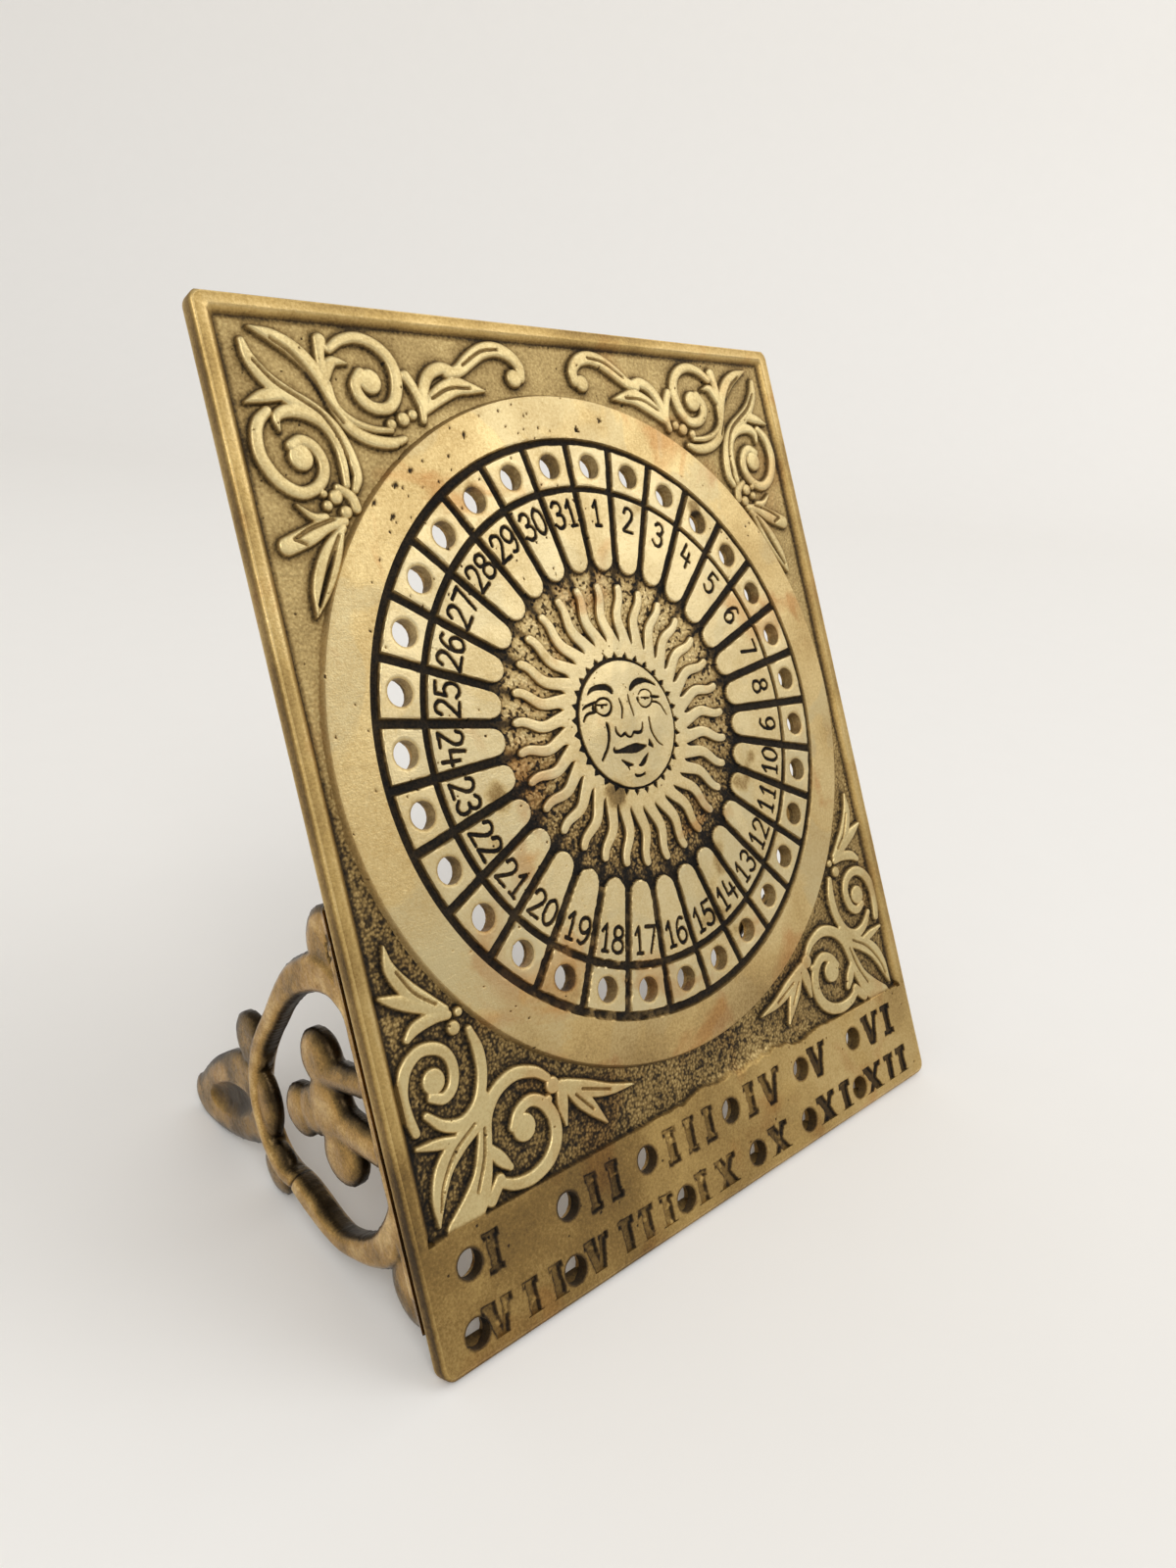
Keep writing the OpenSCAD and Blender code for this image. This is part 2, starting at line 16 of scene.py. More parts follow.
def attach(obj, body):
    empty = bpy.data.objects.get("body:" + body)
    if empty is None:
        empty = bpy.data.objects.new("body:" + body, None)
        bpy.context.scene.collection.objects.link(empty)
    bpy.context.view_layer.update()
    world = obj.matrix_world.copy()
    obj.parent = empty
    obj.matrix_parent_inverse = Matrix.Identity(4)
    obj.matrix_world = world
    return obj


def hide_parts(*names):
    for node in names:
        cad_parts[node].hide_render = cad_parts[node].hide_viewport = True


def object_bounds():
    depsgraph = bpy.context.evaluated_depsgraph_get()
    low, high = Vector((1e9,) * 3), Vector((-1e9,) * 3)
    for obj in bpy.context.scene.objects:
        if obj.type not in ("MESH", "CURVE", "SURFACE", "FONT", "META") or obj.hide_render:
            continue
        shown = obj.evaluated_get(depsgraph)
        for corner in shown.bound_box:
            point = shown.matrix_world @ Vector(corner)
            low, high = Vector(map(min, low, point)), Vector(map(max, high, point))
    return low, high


bl_info = {
    "name": "Sundial Calendar",
    "version": (1, 0, 0),
    "blender": (4, 5, 0),
    "location": "View3D > Sidebar > Sundial",
    "description": "Builds a cast brass sundial calendar round its packed frame",
    "category": "Add Mesh",
}

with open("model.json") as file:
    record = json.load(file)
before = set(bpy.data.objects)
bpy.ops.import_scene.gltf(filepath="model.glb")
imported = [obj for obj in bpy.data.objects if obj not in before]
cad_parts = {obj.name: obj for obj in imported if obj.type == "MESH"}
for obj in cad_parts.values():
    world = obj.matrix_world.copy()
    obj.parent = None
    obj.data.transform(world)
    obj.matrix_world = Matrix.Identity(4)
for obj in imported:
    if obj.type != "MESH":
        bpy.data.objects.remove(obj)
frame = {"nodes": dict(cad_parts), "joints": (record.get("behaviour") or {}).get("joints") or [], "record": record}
cad_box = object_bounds()

MM = 0.001


def record_mount(name):
    """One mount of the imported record"""
    return next(m for m in frame["record"]["mounts"] if m["name"] == name)


def record_joint(name):
    """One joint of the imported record"""
    return next(j for j in frame["joints"] if j["name"] == name)


# The plate's own frame: x to the right, y up the plate, z out of its front, from the dial's middle
DIAL = np.array(record_mount("day_holes")["pos_m"])
OUT = np.array(record_mount("day_holes")["axis"])
UP = np.array(record_joint("wing_right_fold")["axis"])
RIGHT = np.cross(UP, OUT)

# The plate from the dial's middle, in mm: half its width, its ends, thickness and corner rounding
HALF_W = 58.5
TOP, BOTTOM = 65.6, -79.4
THICK = 3.0
CORNER = 2.0
# Depth at which the pieces of the front end, inside the plate, and how far behind the front the back's ends
BURIED, BACK_BURIED = -1.9, 1.4
# Mesh points along the plate's long and short sides and round each corner
SIDE_POINTS, CORNER_POINTS = (340, 270), 14
# The dial's cells, one for each day
DAYS = 31
STEP = 2 * pi / DAYS
# Radii on the dial: the face's cut line, the sun's disc, the number cells' inner edge, the centres of their
# rounded ends, the hole cells' inner edge and holes, the plain ring's inner edge, outer edge and buried edge
FACE_R, SUN_R = 10.6, 13.45
CELL_R, CELL_END_R = 23.6, 27.3
HOLE_CELL_R, HOLE_RING_R = 38.75, 42.6
RING_R, RING_OUT_R, CORNERS_R = 46.5, 54.4, 53.8
# Hinge axes: distance aside and behind the front, and the middles of the two hinges of a side
HINGE_X, HINGE_D = 51.85, 5.65
HINGE_Y = (-57.5, -20.5)
# Radius of the lugs and knuckles, and how dark they have gone
LUG_R, HINGE_DARK = 2.3, 0.45
# Sun rays: where the wave begins from the tip, how much narrower the tip is, its rounding, and how far
# the ring of rays is turned
RAY_PHASE, RAY_TAPER, RAY_ROUND, RAY_TURN = 1.6, 0.4, 0.8, radians(0.9)
# The month band: its upper edge, where the corners end under it, and its distance in from the plate's edge
BAND_TOP = -61.0
BAND_SEAM = -62.6
BAND_EDGE = 2.0
# Heights of its two rows of letters
ROW_UPPER, ROW_LOWER = (-69.2, -63.45), (-78.35, -72.5)
MONTH_HOLES = tuple((x - HALF_W, -66.2) for x in (7.5, 25.3, 41.8, 61.8, 81.1, 97.2)) + tuple(
    (x - HALF_W, -75.2) for x in (6.3, 24.1, 47.9, 65.9, 80.4, 96.1)
)


def linear(code):
    """An sRGB hex colour as linear RGBA"""
    parts = [int(code[i:i + 2], 16) / 255 for i in (1, 3, 5)]
    return tuple(c / 12.92 if c <= 0.04045 else ((c + 0.055) / 1.055) ** 2.4 for c in parts) + (1.0,)


def hashed(ix, iy, seed):
    """A fixed random number from 0 to 1 for each pair of whole numbers"""
    h = (ix * 374761393 + iy * 668265263 + seed * 974634777) & 0xFFFFFFFF
    h = ((h ^ (h >> 13)) * 1274126177) & 0xFFFFFFFF
    h = ((h ^ (h >> 16)) * 2246822519) & 0xFFFFFFFF
    return (h ^ (h >> 15)) / 4294967296.0


def grain(x, y, size, seed):
    """Smooth noise from -1 to 1 whose bumps are about size across"""
    u, v = x / size, y / size
    iu, iv = np.floor(u).astype(np.int64), np.floor(v).astype(np.int64)
    fu, fv = u - iu, v - iv
    fu, fv = fu * fu * (3 - 2 * fu), fv * fv * (3 - 2 * fv)
    low = hashed(iu, iv, seed) * (1 - fu) + hashed(iu + 1, iv, seed) * fu
    high = hashed(iu, iv + 1, seed) * (1 - fu) + hashed(iu + 1, iv + 1, seed) * fu
    return 2 * (low * (1 - fv) + high * fv) - 1


def cloud(x, y, size, seed, octaves=3):
    """Noise with finer noise on it"""
    total, share, weight = 0.0, 1.0, 0.0
    for i in range(octaves):
        total = total + share * grain(x + 7.1 * i, y - 3.7 * i, size / 2 ** i, seed + i)
        weight += share
        share *= 0.5
    return total / weight


def cells(x, y, size, seed, share=1.0):
    """Distance to the nearest of a set of scattered points, in cell sizes, and that point's random number"""
    u, v = x / size, y / size
    iu, iv = np.floor(u).astype(np.int64), np.floor(v).astype(np.int64)
    best, mark = np.full(np.shape(u), 9.0), np.zeros(np.shape(u))
    for du in (-1, 0, 1):
        for dv in (-1, 0, 1):
            a, b = iu + du, iv + dv
            px, py = a + hashed(a, b, seed), b + hashed(a, b, seed + 1)
            kind = hashed(a, b, seed + 2)
            d = np.where(kind < share, np.hypot(u - px, v - py), 9.0)
            nearer = d < best
            best, mark = np.where(nearer, d, best), np.where(nearer, kind / share, mark)
    return best, mark


def smooth(low, high, value):
    """0 below low, 1 above high and an S between them"""
    t = np.clip((value - low) / (high - low), 0, 1)
    return t * t * (3 - 2 * t)


def pebbles(x, y, size, seed):
    """A punched ground: small round bumps side by side, 0 to 1"""
    d, mark = cells(x, y, size, seed)
    return np.clip(1 - (d / 0.62) ** 2, 0, 1) * (0.55 + 0.45 * mark)


def pits(x, y, size, seed, share, radius):
    """Casting pits: 1 inside a pit, 0 outside"""
    d, mark = cells(x, y, size, seed, share)
    return 1 - smooth(0.5, 1.0, d * size / (radius * (0.5 + 0.8 * mark)))


def spline(rows, steps=6):
    """More rows on a smooth curve through the given ones; two rows stay a straight line"""
    p = np.array(rows, float)
    if len(p) < 3:
        return p
    p = np.vstack([2 * p[0] - p[1], p, 2 * p[-1] - p[-2]])
    out = []
    for i in range(1, len(p) - 2):
        for t in np.arange(steps) / steps:
            out.append(0.5 * (2 * p[i] + (p[i + 1] - p[i - 1]) * t
                              + (2 * p[i - 1] - 5 * p[i] + 4 * p[i + 1] - p[i + 2]) * t ** 2
                              + (3 * p[i] - p[i - 1] - 3 * p[i + 1] + p[i + 2]) * t ** 3))
    out.append(p[-2])
    out = np.array(out)
    if out.shape[1] > 2:
        out[:, 2] = np.maximum(out[:, 2], 0.05)
    return out


def sweep(x, y, rows):
    """How deep points lie inside a stroke of varying width, and the half width there"""
    best = np.full(x.shape, -99.0)
    half = np.ones(x.shape)
    if len(rows) == 1:
        return rows[0][2] - np.hypot(x - rows[0][0], y - rows[0][1]), np.full(x.shape, rows[0][2])
    for a, b in zip(rows[:-1], rows[1:]):
        dx, dy = b[0] - a[0], b[1] - a[1]
        t = np.clip(((x - a[0]) * dx + (y - a[1]) * dy) / max(dx * dx + dy * dy, 1e-9), 0, 1)
        r = a[2] + t * (b[2] - a[2])
        q = r - np.hypot(x - a[0] - t * dx, y - a[1] - t * dy)
        nearer = q > best
        best, half = np.where(nearer, q, best), np.where(nearer, r, half)
    return best, half


def carve(x, y, strokes, reach=2.5):
    """Each stroke with the points near it: (where, depth inside, half width)"""
    for rows in strokes:
        rows = np.array(rows, float)
        grow = rows[:, 2].max() + reach
        near = ((x > rows[:, 0].min() - grow) & (x < rows[:, 0].max() + grow)
                & (y > rows[:, 1].min() - grow) & (y < rows[:, 1].max() + grow))
        if near.any():
            q, half = sweep(x[near], y[near], rows)
            yield near, q, half


def deepest(x, y, strokes, reach=2.5):
    """How deep points lie inside the nearest of some strokes"""
    best = np.full(x.shape, -99.0)
    for near, q, _ in carve(x, y, strokes, reach):
        best[near] = np.maximum(best[near], q)
    return best


# Scrolls of the top left corner; the right corner mirrors them. Each row is x, y and half width.
SCROLL_TOP = [
    [(-20.18, 56.54, 0.94), (-17.83, 57.24, 1.17), (-15.84, 58.65, 1.35), (-12.9, 60.41, 1.41),
     (-9.97, 61, 1.35), (-7.39, 60.29, 1.23), (-5.75, 58.53, 1.11), (-5.87, 56.77, 1.06)],
    [(-7.27, 56.54, 1.58)],
    [(-26.39, 49.27, 0.7), (-25.57, 53.02, 1.06), (-23.81, 56.07, 1.11), (-21.11, 57.36, 1.11),
     (-18.53, 56.77, 0.82)],
    [(-25.57, 50.67, 0.7), (-22.87, 53.02, 1.52), (-19.35, 54.66, 1.58), (-16.42, 54.54, 1.06),
     (-13.84, 54.19, 0.35)], [(-26.16, 51.14, 0.7), (-26.98, 54.19, 0.94), (-27.92, 55.83, 1)],
    [(-32.14, 48.56, 0.94)], [(-29.91, 49.38, 1.17)], [(-28.15, 50.09, 0.94)], [(-34.13, 54.66, 1.99)],
    [(-35.42, 55.72, 1.06), (-36.71, 53.96, 1.06), (-36.13, 52.08, 1.06), (-34.49, 50.91, 1.06),
     (-32.14, 50.91, 1.06), (-30.38, 52.55, 1.11), (-29.56, 55.6, 1.17), (-30.15, 58.18, 1.11),
     (-32.02, 60.06, 1.06), (-34.72, 60.88, 1), (-37.54, 60.29, 0.94), (-39.65, 58.88, 0.82)],
    [(-51.03, 61.11, 0.35), (-48.09, 60.17, 1.11), (-45.28, 58.53, 1.41), (-43.17, 56.3, 1.35),
     (-41.88, 53.72, 1.06), (-41.05, 51.03, 0.94), (-39.41, 48.09, 1), (-36.36, 46.33, 1.06),
     (-32.84, 45.86, 1), (-30.5, 46.45, 0.7)],
    [(-40.82, 60.06, 1.17), (-41.29, 58.06, 0.94), (-41.52, 55.72, 0.82)],
    [(-37.42, 57.01, 0.35), (-39.65, 57.13, 0.94), (-41.29, 55.01, 1.06)],
    [(-40.94, 53.96, 0.59), (-40.59, 51.03, 0.7), (-38.71, 49.03, 0.7), (-35.66, 47.86, 0.7),
     (-32.37, 47.62, 0.59)],
    [(-52.55, 59.12, 0.7), (-51.96, 56.77, 1.06), (-50.2, 54.19, 1.29), (-47.62, 52.08, 1.41),
     (-44.1, 50.09, 1.29), (-41.52, 47.62, 1.06), (-40.12, 44.34, 1), (-39.76, 41.05, 0.94),
     (-40.59, 39.18, 0.7)], [(-47.74, 43.64, 1.94)],
    [(-48.8, 45.28, 0.94), (-47.15, 45.98, 1), (-45.4, 45.04, 1), (-44.57, 42.93, 1), (-45.16, 40.82, 1),
     (-46.92, 39.3, 1), (-49.27, 38.94, 1.06), (-51.85, 40.59, 1.11), (-53.49, 43.64, 1.11),
     (-53.49, 46.45, 1.06), (-52.67, 48.44, 1), (-51.14, 49.85, 0.82)],
    [(-53.96, 50.91, 0.35), (-51.14, 51.85, 1.06), (-48.09, 52.32, 1.06)],
    [(-49.97, 47.27, 0.35), (-49.97, 49.03, 0.82), (-48.09, 49.97, 1.06), (-45.28, 49.5, 1),
     (-42.93, 47.98, 0.94), (-41.76, 45.28, 0.82), (-41.52, 42.81, 0.82), (-41.76, 39.88, 0.7)],
    [(-45.4, 37.07, 0.88)], [(-43.87, 38.24, 1.17)], [(-42.81, 36.13, 1.06)], [(-45.63, 38.71, 0.7)],
    [(-43.28, 39.53, 0.7), (-41.52, 38.24, 0.94), (-41.05, 36.6, 0.94)],
    [(-43.4, 34.84, 0.82), (-46.33, 34.37, 1.17), (-49.27, 33.08, 1.47), (-52.79, 31.79, 1.41)],
    [(-46.22, 35.42, 0.82), (-48.09, 35.66, 0.7), (-50.09, 37.3, 0.29)],
    [(-43.87, 33.9, 0.7), (-46.33, 31.67, 1), (-48.33, 28.97, 1.11), (-49.97, 25.81, 0.88),
     (-50.91, 22.17, 0.29)],
    [(-44.34, 33.08, 0.59), (-45.63, 30.03, 0.7), (-47.15, 27.21, 0.7), (-48.91, 24.63, 0.53),
     (-50.67, 22.4, 0.29)],
]

# Scrolls of the bottom left corner
SCROLL_LOW = [
    [(-52.67, -22.05, 0.35), (-52.43, -25.22, 1.06), (-50.67, -28.39, 1.41), (-48.33, -30.73, 1.29),
     (-45.63, -32.84, 0.82)],
    [(-55.13, -28.39, 0.47), (-52.08, -29.79, 1.17), (-48.56, -31.55, 1.17), (-45.75, -33.08, 0.82)],
    [(-52.32, -34.84, 0.7), (-50.67, -33.78, 1.06), (-47.62, -33.31, 1.06), (-45.4, -33.67, 0.82)],
    [(-44.93, -35.66, 1.17)], [(-43.64, -33.78, 0.82)], [(-49.85, -41.41, 1.94)],
    [(-50.67, -43.4, 0.88), (-48.8, -44.1, 1), (-47.15, -43.05, 1), (-46.45, -40.82, 1),
     (-46.92, -38.71, 1), (-48.56, -37.3, 1.06), (-51.14, -36.95, 1.06), (-53.61, -38.47, 1.11),
     (-54.9, -41.29, 1.11), (-54.9, -44.1, 1.06), (-54.19, -46.92, 0.82)],
    [(-42.58, -36.6, 0.7), (-41.88, -39.88, 1.06), (-42.23, -43.4, 1.06), (-43.87, -46.69, 1.06),
     (-46.69, -48.33, 1.11), (-49.74, -47.62, 1), (-52.08, -45.4, 0.7)],
    [(-42.58, -46.1, 0.82), (-44.81, -49.03, 1.29), (-48.09, -50.67, 1.52), (-51.14, -52.79, 1.64),
     (-53.02, -56.07, 1.29), (-53.96, -59.82, 0.35)],
    [(-54.66, -48.91, 0.47), (-51.61, -49.5, 0.94), (-49.03, -50.09, 0.94)],
    [(-51.14, -61.7, 2.23), (-47.98, -59.35, 2.29), (-45.75, -56.3, 1.76), (-44.34, -52.55, 1.41),
     (-43.05, -48.8, 1.23), (-40.47, -46.22, 1.17), (-36.95, -45.16, 1.17), (-33.43, -46.1, 1),
     (-31.55, -47.62, 0.82)], [(-37.3, -52.79, 2.17)],
    [(-39.18, -52.08, 0.82), (-37.77, -50.44, 1), (-35.42, -49.62, 1.06), (-33.2, -50.79, 1.11),
     (-31.91, -53.49, 1.17), (-32.37, -56.54, 1.23), (-34.49, -58.88, 1.23), (-37.77, -59.94, 1.17),
     (-40.82, -59.59, 1.06), (-42.7, -58.65, 0.94)],
    [(-44.1, -52.55, 0.59), (-42.46, -55.13, 1.17), (-41.05, -57.01, 0.7)],
    [(-45.28, -60.06, 1.06), (-43.17, -57.95, 1.06)], [(-30.85, -49.03, 1.41)], [(-32.14, -50.67, 0.82)],
    [(-29.21, -49.62, 1.06), (-29.79, -52.08, 1.17), (-30.03, -55.37, 0.35)],
    [(-28.39, -49.97, 0.94), (-26.51, -52.55, 1.41), (-24.87, -54.66, 1.29), (-22.52, -57.95, 0.35)],
    [(-28.39, -49.74, 0.94), (-24.63, -51.85, 1.41), (-20.64, -53.49, 1.06), (-15.95, -54.43, 0.35)],
]

# Lines cut into the leaves
VEINS = [
    [(-48.33, 59.71, 0.23), (-45.63, 57.83, 0.28), (-43.52, 55.01, 0.28), (-41.99, 51.61, 0.26),
     (-40.12, 48.56, 0.23)],
    [(-51.61, 56.54, 0.23), (-49.15, 53.72, 0.28), (-45.75, 51.49, 0.28), (-42.93, 49.27, 0.26),
     (-41.05, 45.28, 0.23), (-40.7, 41.05, 0.23)],
    [(-24.16, 52.55, 0.21), (-20.64, 54.19, 0.23), (-16.66, 54.43, 0.21)],
    [(-45.04, 35.19, 0.23), (-48.8, 34.02, 0.28), (-51.61, 32.61, 0.23)],
    [(-51.61, 32.61, 0.23), (-49.97, 31.91, 0.23)],
    [(-44.93, 32.84, 0.23), (-46.92, 29.79, 0.3), (-48.56, 26.74, 0.28), (-50.2, 23.69, 0.23)],
    [(-51.73, -25.81, 0.21), (-49.74, -29.21, 0.23), (-46.92, -31.67, 0.21)],
    [(-45.28, -49.15, 0.21), (-49.27, -51.49, 0.26), (-52.08, -54.9, 0.23), (-53.25, -57.95, 0.21)],
    [(-47.15, -57.95, 0.23), (-45.04, -54.19, 0.26), (-43.87, -50.32, 0.23)],
    [(-27.21, -51.85, 0.21), (-24.63, -55.01, 0.23)], [(-25.81, -51.49, 0.21), (-20.64, -53.49, 0.21)],
    [(-17.13, 57.95, 0.19), (-13.14, 60.29, 0.21), (-9.62, 60.88, 0.19)],
]

# The face's cut lines
FACE_LINES = [
    [(-7.31, 5.77, 0.12), (-6.64, 6.25, 0.28), (-5.74, 6.53, 0.39), (-4.48, 6.56, 0.47),
     (-3.16, 6.38, 0.52), (-2.35, 5.82, 0.47), (-2.23, 5.4, 0.28)],
    [(1.92, 5.31, 0.19), (2.4, 5.74, 0.41), (3.4, 6.29, 0.5), (4.65, 6.5, 0.49), (5.94, 6.37, 0.36),
     (7, 5.96, 0.25), (7.95, 5.38, 0.13)],
    [(-5.96, 4.33, 0.16), (-5.21, 4.7, 0.19), (-4.22, 4.75, 0.19), (-3.37, 4.36, 0.21), (-2.97, 3.69, 0.23),
     (-3.13, 2.9, 0.26), (-3.77, 2.23, 0.23), (-4.69, 1.96, 0.19), (-5.58, 2.21, 0.16), (-6.24, 2.74, 0.16),
     (-6.33, 3.47, 0.19), (-5.96, 4.33, 0.16)],
    [(-6.1, 3.88, 0.12), (-5.1, 3.72, 0.14), (-3.88, 3.62, 0.14)], [(-5.06, 3.45, 0.3)],
    [(-9.01, 3.6, 0.14), (-8.3, 3.96, 0.2), (-7.3, 4.15, 0.21), (-6.23, 4.33, 0.21)],
    [(-9.38, 1.71, 0.16), (-8.79, 2.43, 0.2), (-8, 2.77, 0.21), (-7.04, 2.83, 0.21), (-6.45, 2.78, 0.14)],
    [(-6.72, 3.84, 0.23), (-6.84, 3.28, 0.36), (-6.59, 2.84, 0.21)],
    [(3.53, 4.32, 0.09), (4.26, 4.84, 0.09), (5.33, 4.95, 0.09), (6.23, 4.52, 0.13), (6.51, 3.8, 0.15),
     (6.33, 2.98, 0.15), (5.67, 2.33, 0.15), (4.53, 2.01, 0.12), (3.62, 2.42, 0.12), (3.16, 3.18, 0.14)],
    [(3.19, 3.64, 0.32), (3.17, 3.21, 0.22)], [(3.98, 3.69, 0.12), (5.74, 3.46, 0.12)],
    [(4.79, 3.45, 0.22)], [(6.33, 3.65, 0.22), (7.24, 3.44, 0.25), (8.16, 3.31, 0.18)],
    [(6.25, 2.73, 0.13), (7.25, 2.55, 0.15), (8.12, 1.97, 0.15), (8.55, 1.16, 0.15), (9.04, 0.13, 0.07)],
    [(-1.04, 4.23, 0.12), (-0.89, 3.28, 0.16), (-0.93, 2.25, 0.19), (-1.36, 1.08, 0.14)],
    [(1.1, 4.55, 0.12), (1.06, 3.52, 0.16), (1.2, 2.36, 0.21), (1.36, 1.06, 0.12)],
    [(-3.2, -0.18, 0.14), (-3.21, -0.89, 0.28), (-2.79, -1.51, 0.23), (-2.32, -1.84, 0.16)],
    [(-2.31, -1.81, 0.16), (-1.42, -1.49, 0.26), (-0.94, -1.98, 0.19), (-0.2, -2.19, 0.14),
     (0.52, -1.6, 0.23), (1.4, -1.75, 0.27), (2.23, -1.71, 0.25), (2.7, -1.16, 0.2), (2.94, -0.32, 0.09)],
    [(-4.93, 0.75, 0.21), (-4.86, 0.29, 0.35), (-4.89, -0.72, 0.33), (-5.24, -2.09, 0.28),
     (-5.88, -3.31, 0.28), (-6.63, -4.09, 0.26), (-7.31, -4.83, 0.21)],
    [(4.65, 0.27, 0.15), (4.54, -0.77, 0.2), (4.55, -1.83, 0.2), (5, -2.97, 0.18), (5.7, -4.04, 0.15),
     (6.53, -4.7, 0.07)],
    [(-4.38, -3.31, 0.12), (-4.43, -3.87, 0.33), (-3.66, -4.08, 0.28), (-2.53, -4.12, 0.42),
     (-1.1, -4.12, 0.67), (0.34, -4.12, 0.76), (1.35, -4.16, 0.53), (2.6, -4.16, 0.16)],
    [(3.67, -3.27, 0.12), (3.79, -3.92, 0.36), (4.12, -4.47, 0.22), (3.3, -4.05, 0.14)],
    [(-3.28, -5.55, 0.12), (-2.71, -5.98, 0.26), (-2.09, -6.44, 0.38), (-1.13, -6.69, 0.12)],
    [(-2.09, -6.44, 0.28), (-2.12, -7.27, 0.12)],
    [(2.79, -5.42, 0.12), (2.12, -6.02, 0.29), (1.45, -6.56, 0.43), (0.74, -6.96, 0.29),
     (0.22, -7.01, 0.12)],
    [(-1.08, -8.35, 0.19), (-0.67, -8.6, 0.23), (0.18, -8.67, 0.19), (1.03, -8.49, 0.21)],
]

# Brown stains on the dial: x, y, radius and how dark; small crossed cracks on the ring
STAINS = ((-6.0, -10.5, 2.2, 0.4), (-29.1, -6.5, 2.4, 0.35), (-25.0, 41.9, 3.0, 0.18),
          (-25.4, -36.5, 4.0, 0.2))
CRACKS = ((-19.9, 47.1), (-31.1, 41.7), (-38.4, 37.2), (-35.8, 35.1), (-34.2, 39.6), (-27.8, 30.4),
          (9.0, 50.2))

# Roman numerals of the months: letter, left, right; the upper row and the lower row
ROMAN_UPPER = [
    ("I", -48.33, -45.63), ("I", -29.33, -26.98), ("I", -25.1, -22.64), ("I", -12.67, -9.85),
    ("I", -8.09, -5.51), ("I", -3.52, -0.94), ("I", 7.04, 9.74), ("V", 11.14, 16.66), ("V", 24.87, 30.15),
    ("V", 41.88, 47.51), ("I", 48.44, 51.61),
]
ROMAN_LOWER = [
    ("V", -50.91, -45.75), ("I", -43.87, -41.17), ("I", -39.18, -36.48), ("V", -32.26, -27.45),
    ("I", -25.22, -22.29), ("I", -21, -17.95), ("I", -16.42, -13.37), ("I", -8.21, -5.28),
    ("X", -3.28, 1.76), ("X", 10.56, 15.84), ("X", 24.63, 29.91), ("I", 31.44, 34.6), ("X", 39.3, 44.93),
    ("I", 46.33, 49.27), ("I", 50.44, 53.49),
]

# Day figures: radius of their middles, height and half a stroke's width in mm; then their strokes in a box
# one wide and one high, smoothed where they curve
FIGURE_R, FIGURE_HIGH, FIGURE_HALF = 34.85, 4.1, 0.3
FIGURES = {
    "0": ([(.5, 1), (.12, .82), (.03, .5), (.12, .18), (.5, 0), (.88, .18), (.97, .5), (.88, .82),
           (.5, 1)],),
    "1": ([(.22, .74), (.58, 1)], [(.58, 1), (.58, 0)], [(.3, 0), (.86, 0)]),
    "2": ([(.05, .76), (.22, .96), (.55, 1), (.88, .88), (.9, .66), (.62, .4), (.05, .02)],
          [(.05, 0), (.98, 0)]),
    "3": ([(.06, .86), (.34, 1), (.72, .97), (.9, .78), (.74, .58), (.4, .53)],
          [(.4, .53), (.82, .48), (.97, .27), (.8, .05), (.4, -.01), (.03, .14)]),
    "4": ([(.16, 1), (.03, .38)], [(.03, .38), (1, .38)], [(.74, .72), (.74, 0)]),
    "5": ([(.92, 1), (.16, 1)], [(.16, 1), (.1, .56)],
          [(.1, .56), (.46, .64), (.84, .54), (.97, .3), (.8, .06), (.4, 0), (.04, .13)]),
    "6": ([(.84, .94), (.5, .99), (.16, .76), (.03, .38), (.2, .06), (.55, 0), (.9, .14), (.95, .38),
           (.7, .57), (.36, .55), (.06, .36)],),
    "7": ([(.02, 1), (.98, 1)], [(.98, 1), (.42, 0)]),
    "8": ([(.5, 1), (.16, .9), (.14, .66), (.5, .54), (.86, .66), (.84, .9), (.5, 1)],
          [(.5, .54), (.08, .4), (.06, .12), (.5, 0), (.94, .12), (.92, .4), (.5, .54)]),
}
FIGURES["9"] = tuple([(1 - x, 1 - y) for x, y in s] for s in FIGURES["6"])


def surface_wear(x, y):
    """The cast surface's own unevenness on raised faces"""
    return 0.035 * cloud(x, y, 5.0, 11) + 0.012 * cloud(x, y, 0.8, 21, 2)


def corner_heights(x, y):
    """Scrolls on a punched ground, and how dark each point has gone"""
    left = -np.abs(x)
    lower = smooth(15, -25, y) * (1 - 0.4 * smooth(5, 40, x))
    lumps = pebbles(x, y, 0.5, 31)
    ground = -1.0 + (0.08 + 0.05 * lower) * lumps + 0.06 * cloud(x, y, 3.0, 33)
    z = ground.copy()
    inside = np.full(x.shape, -99.0)
    for near, q, half in carve(left, y, [spline(s) for s in SCROLL_TOP + SCROLL_LOW]):
        side = np.sqrt(1 - (1 - np.clip(q / 0.45, 0, 1)) ** 2)
        crown = np.sin(np.clip(q / half, 0, 1) * pi / 2)
        height = -1.0 + 0.92 * (0.86 * side + 0.14 * crown)
        z[near] = np.where(q > 0, np.maximum(z[near], height), z[near])
        inside[near] = np.maximum(inside[near], q)
    vein = deepest(left, y, [spline(s) for s in VEINS])
    cut = smooth(-0.1, 0.12, vein)
    z = z - 0.34 * cut * (inside > 0)
    z = z + np.where(inside > 0, surface_wear(x, y), 0)
    foot = np.exp(-np.clip(-inside, 0, 9) / 0.45) * (inside <= 0)
    grit = smooth(0.1, 0.6, cloud(x, y, 0.7, 35, 2)) * lower
    top = 0.6 - 0.52 * smooth(0.02, 0.3, inside) + 0.42 * cut + 0.1 * cloud(x, y, 4.0, 36)
    low = ((0.32 + 0.36 * lower) - (0.1 + 0.3 * lower) * lumps + 0.4 * foot + 0.3 * grit
           + 0.1 * cloud(x, y, 8.0, 37))
    return z, np.where(inside > 0, top, low)


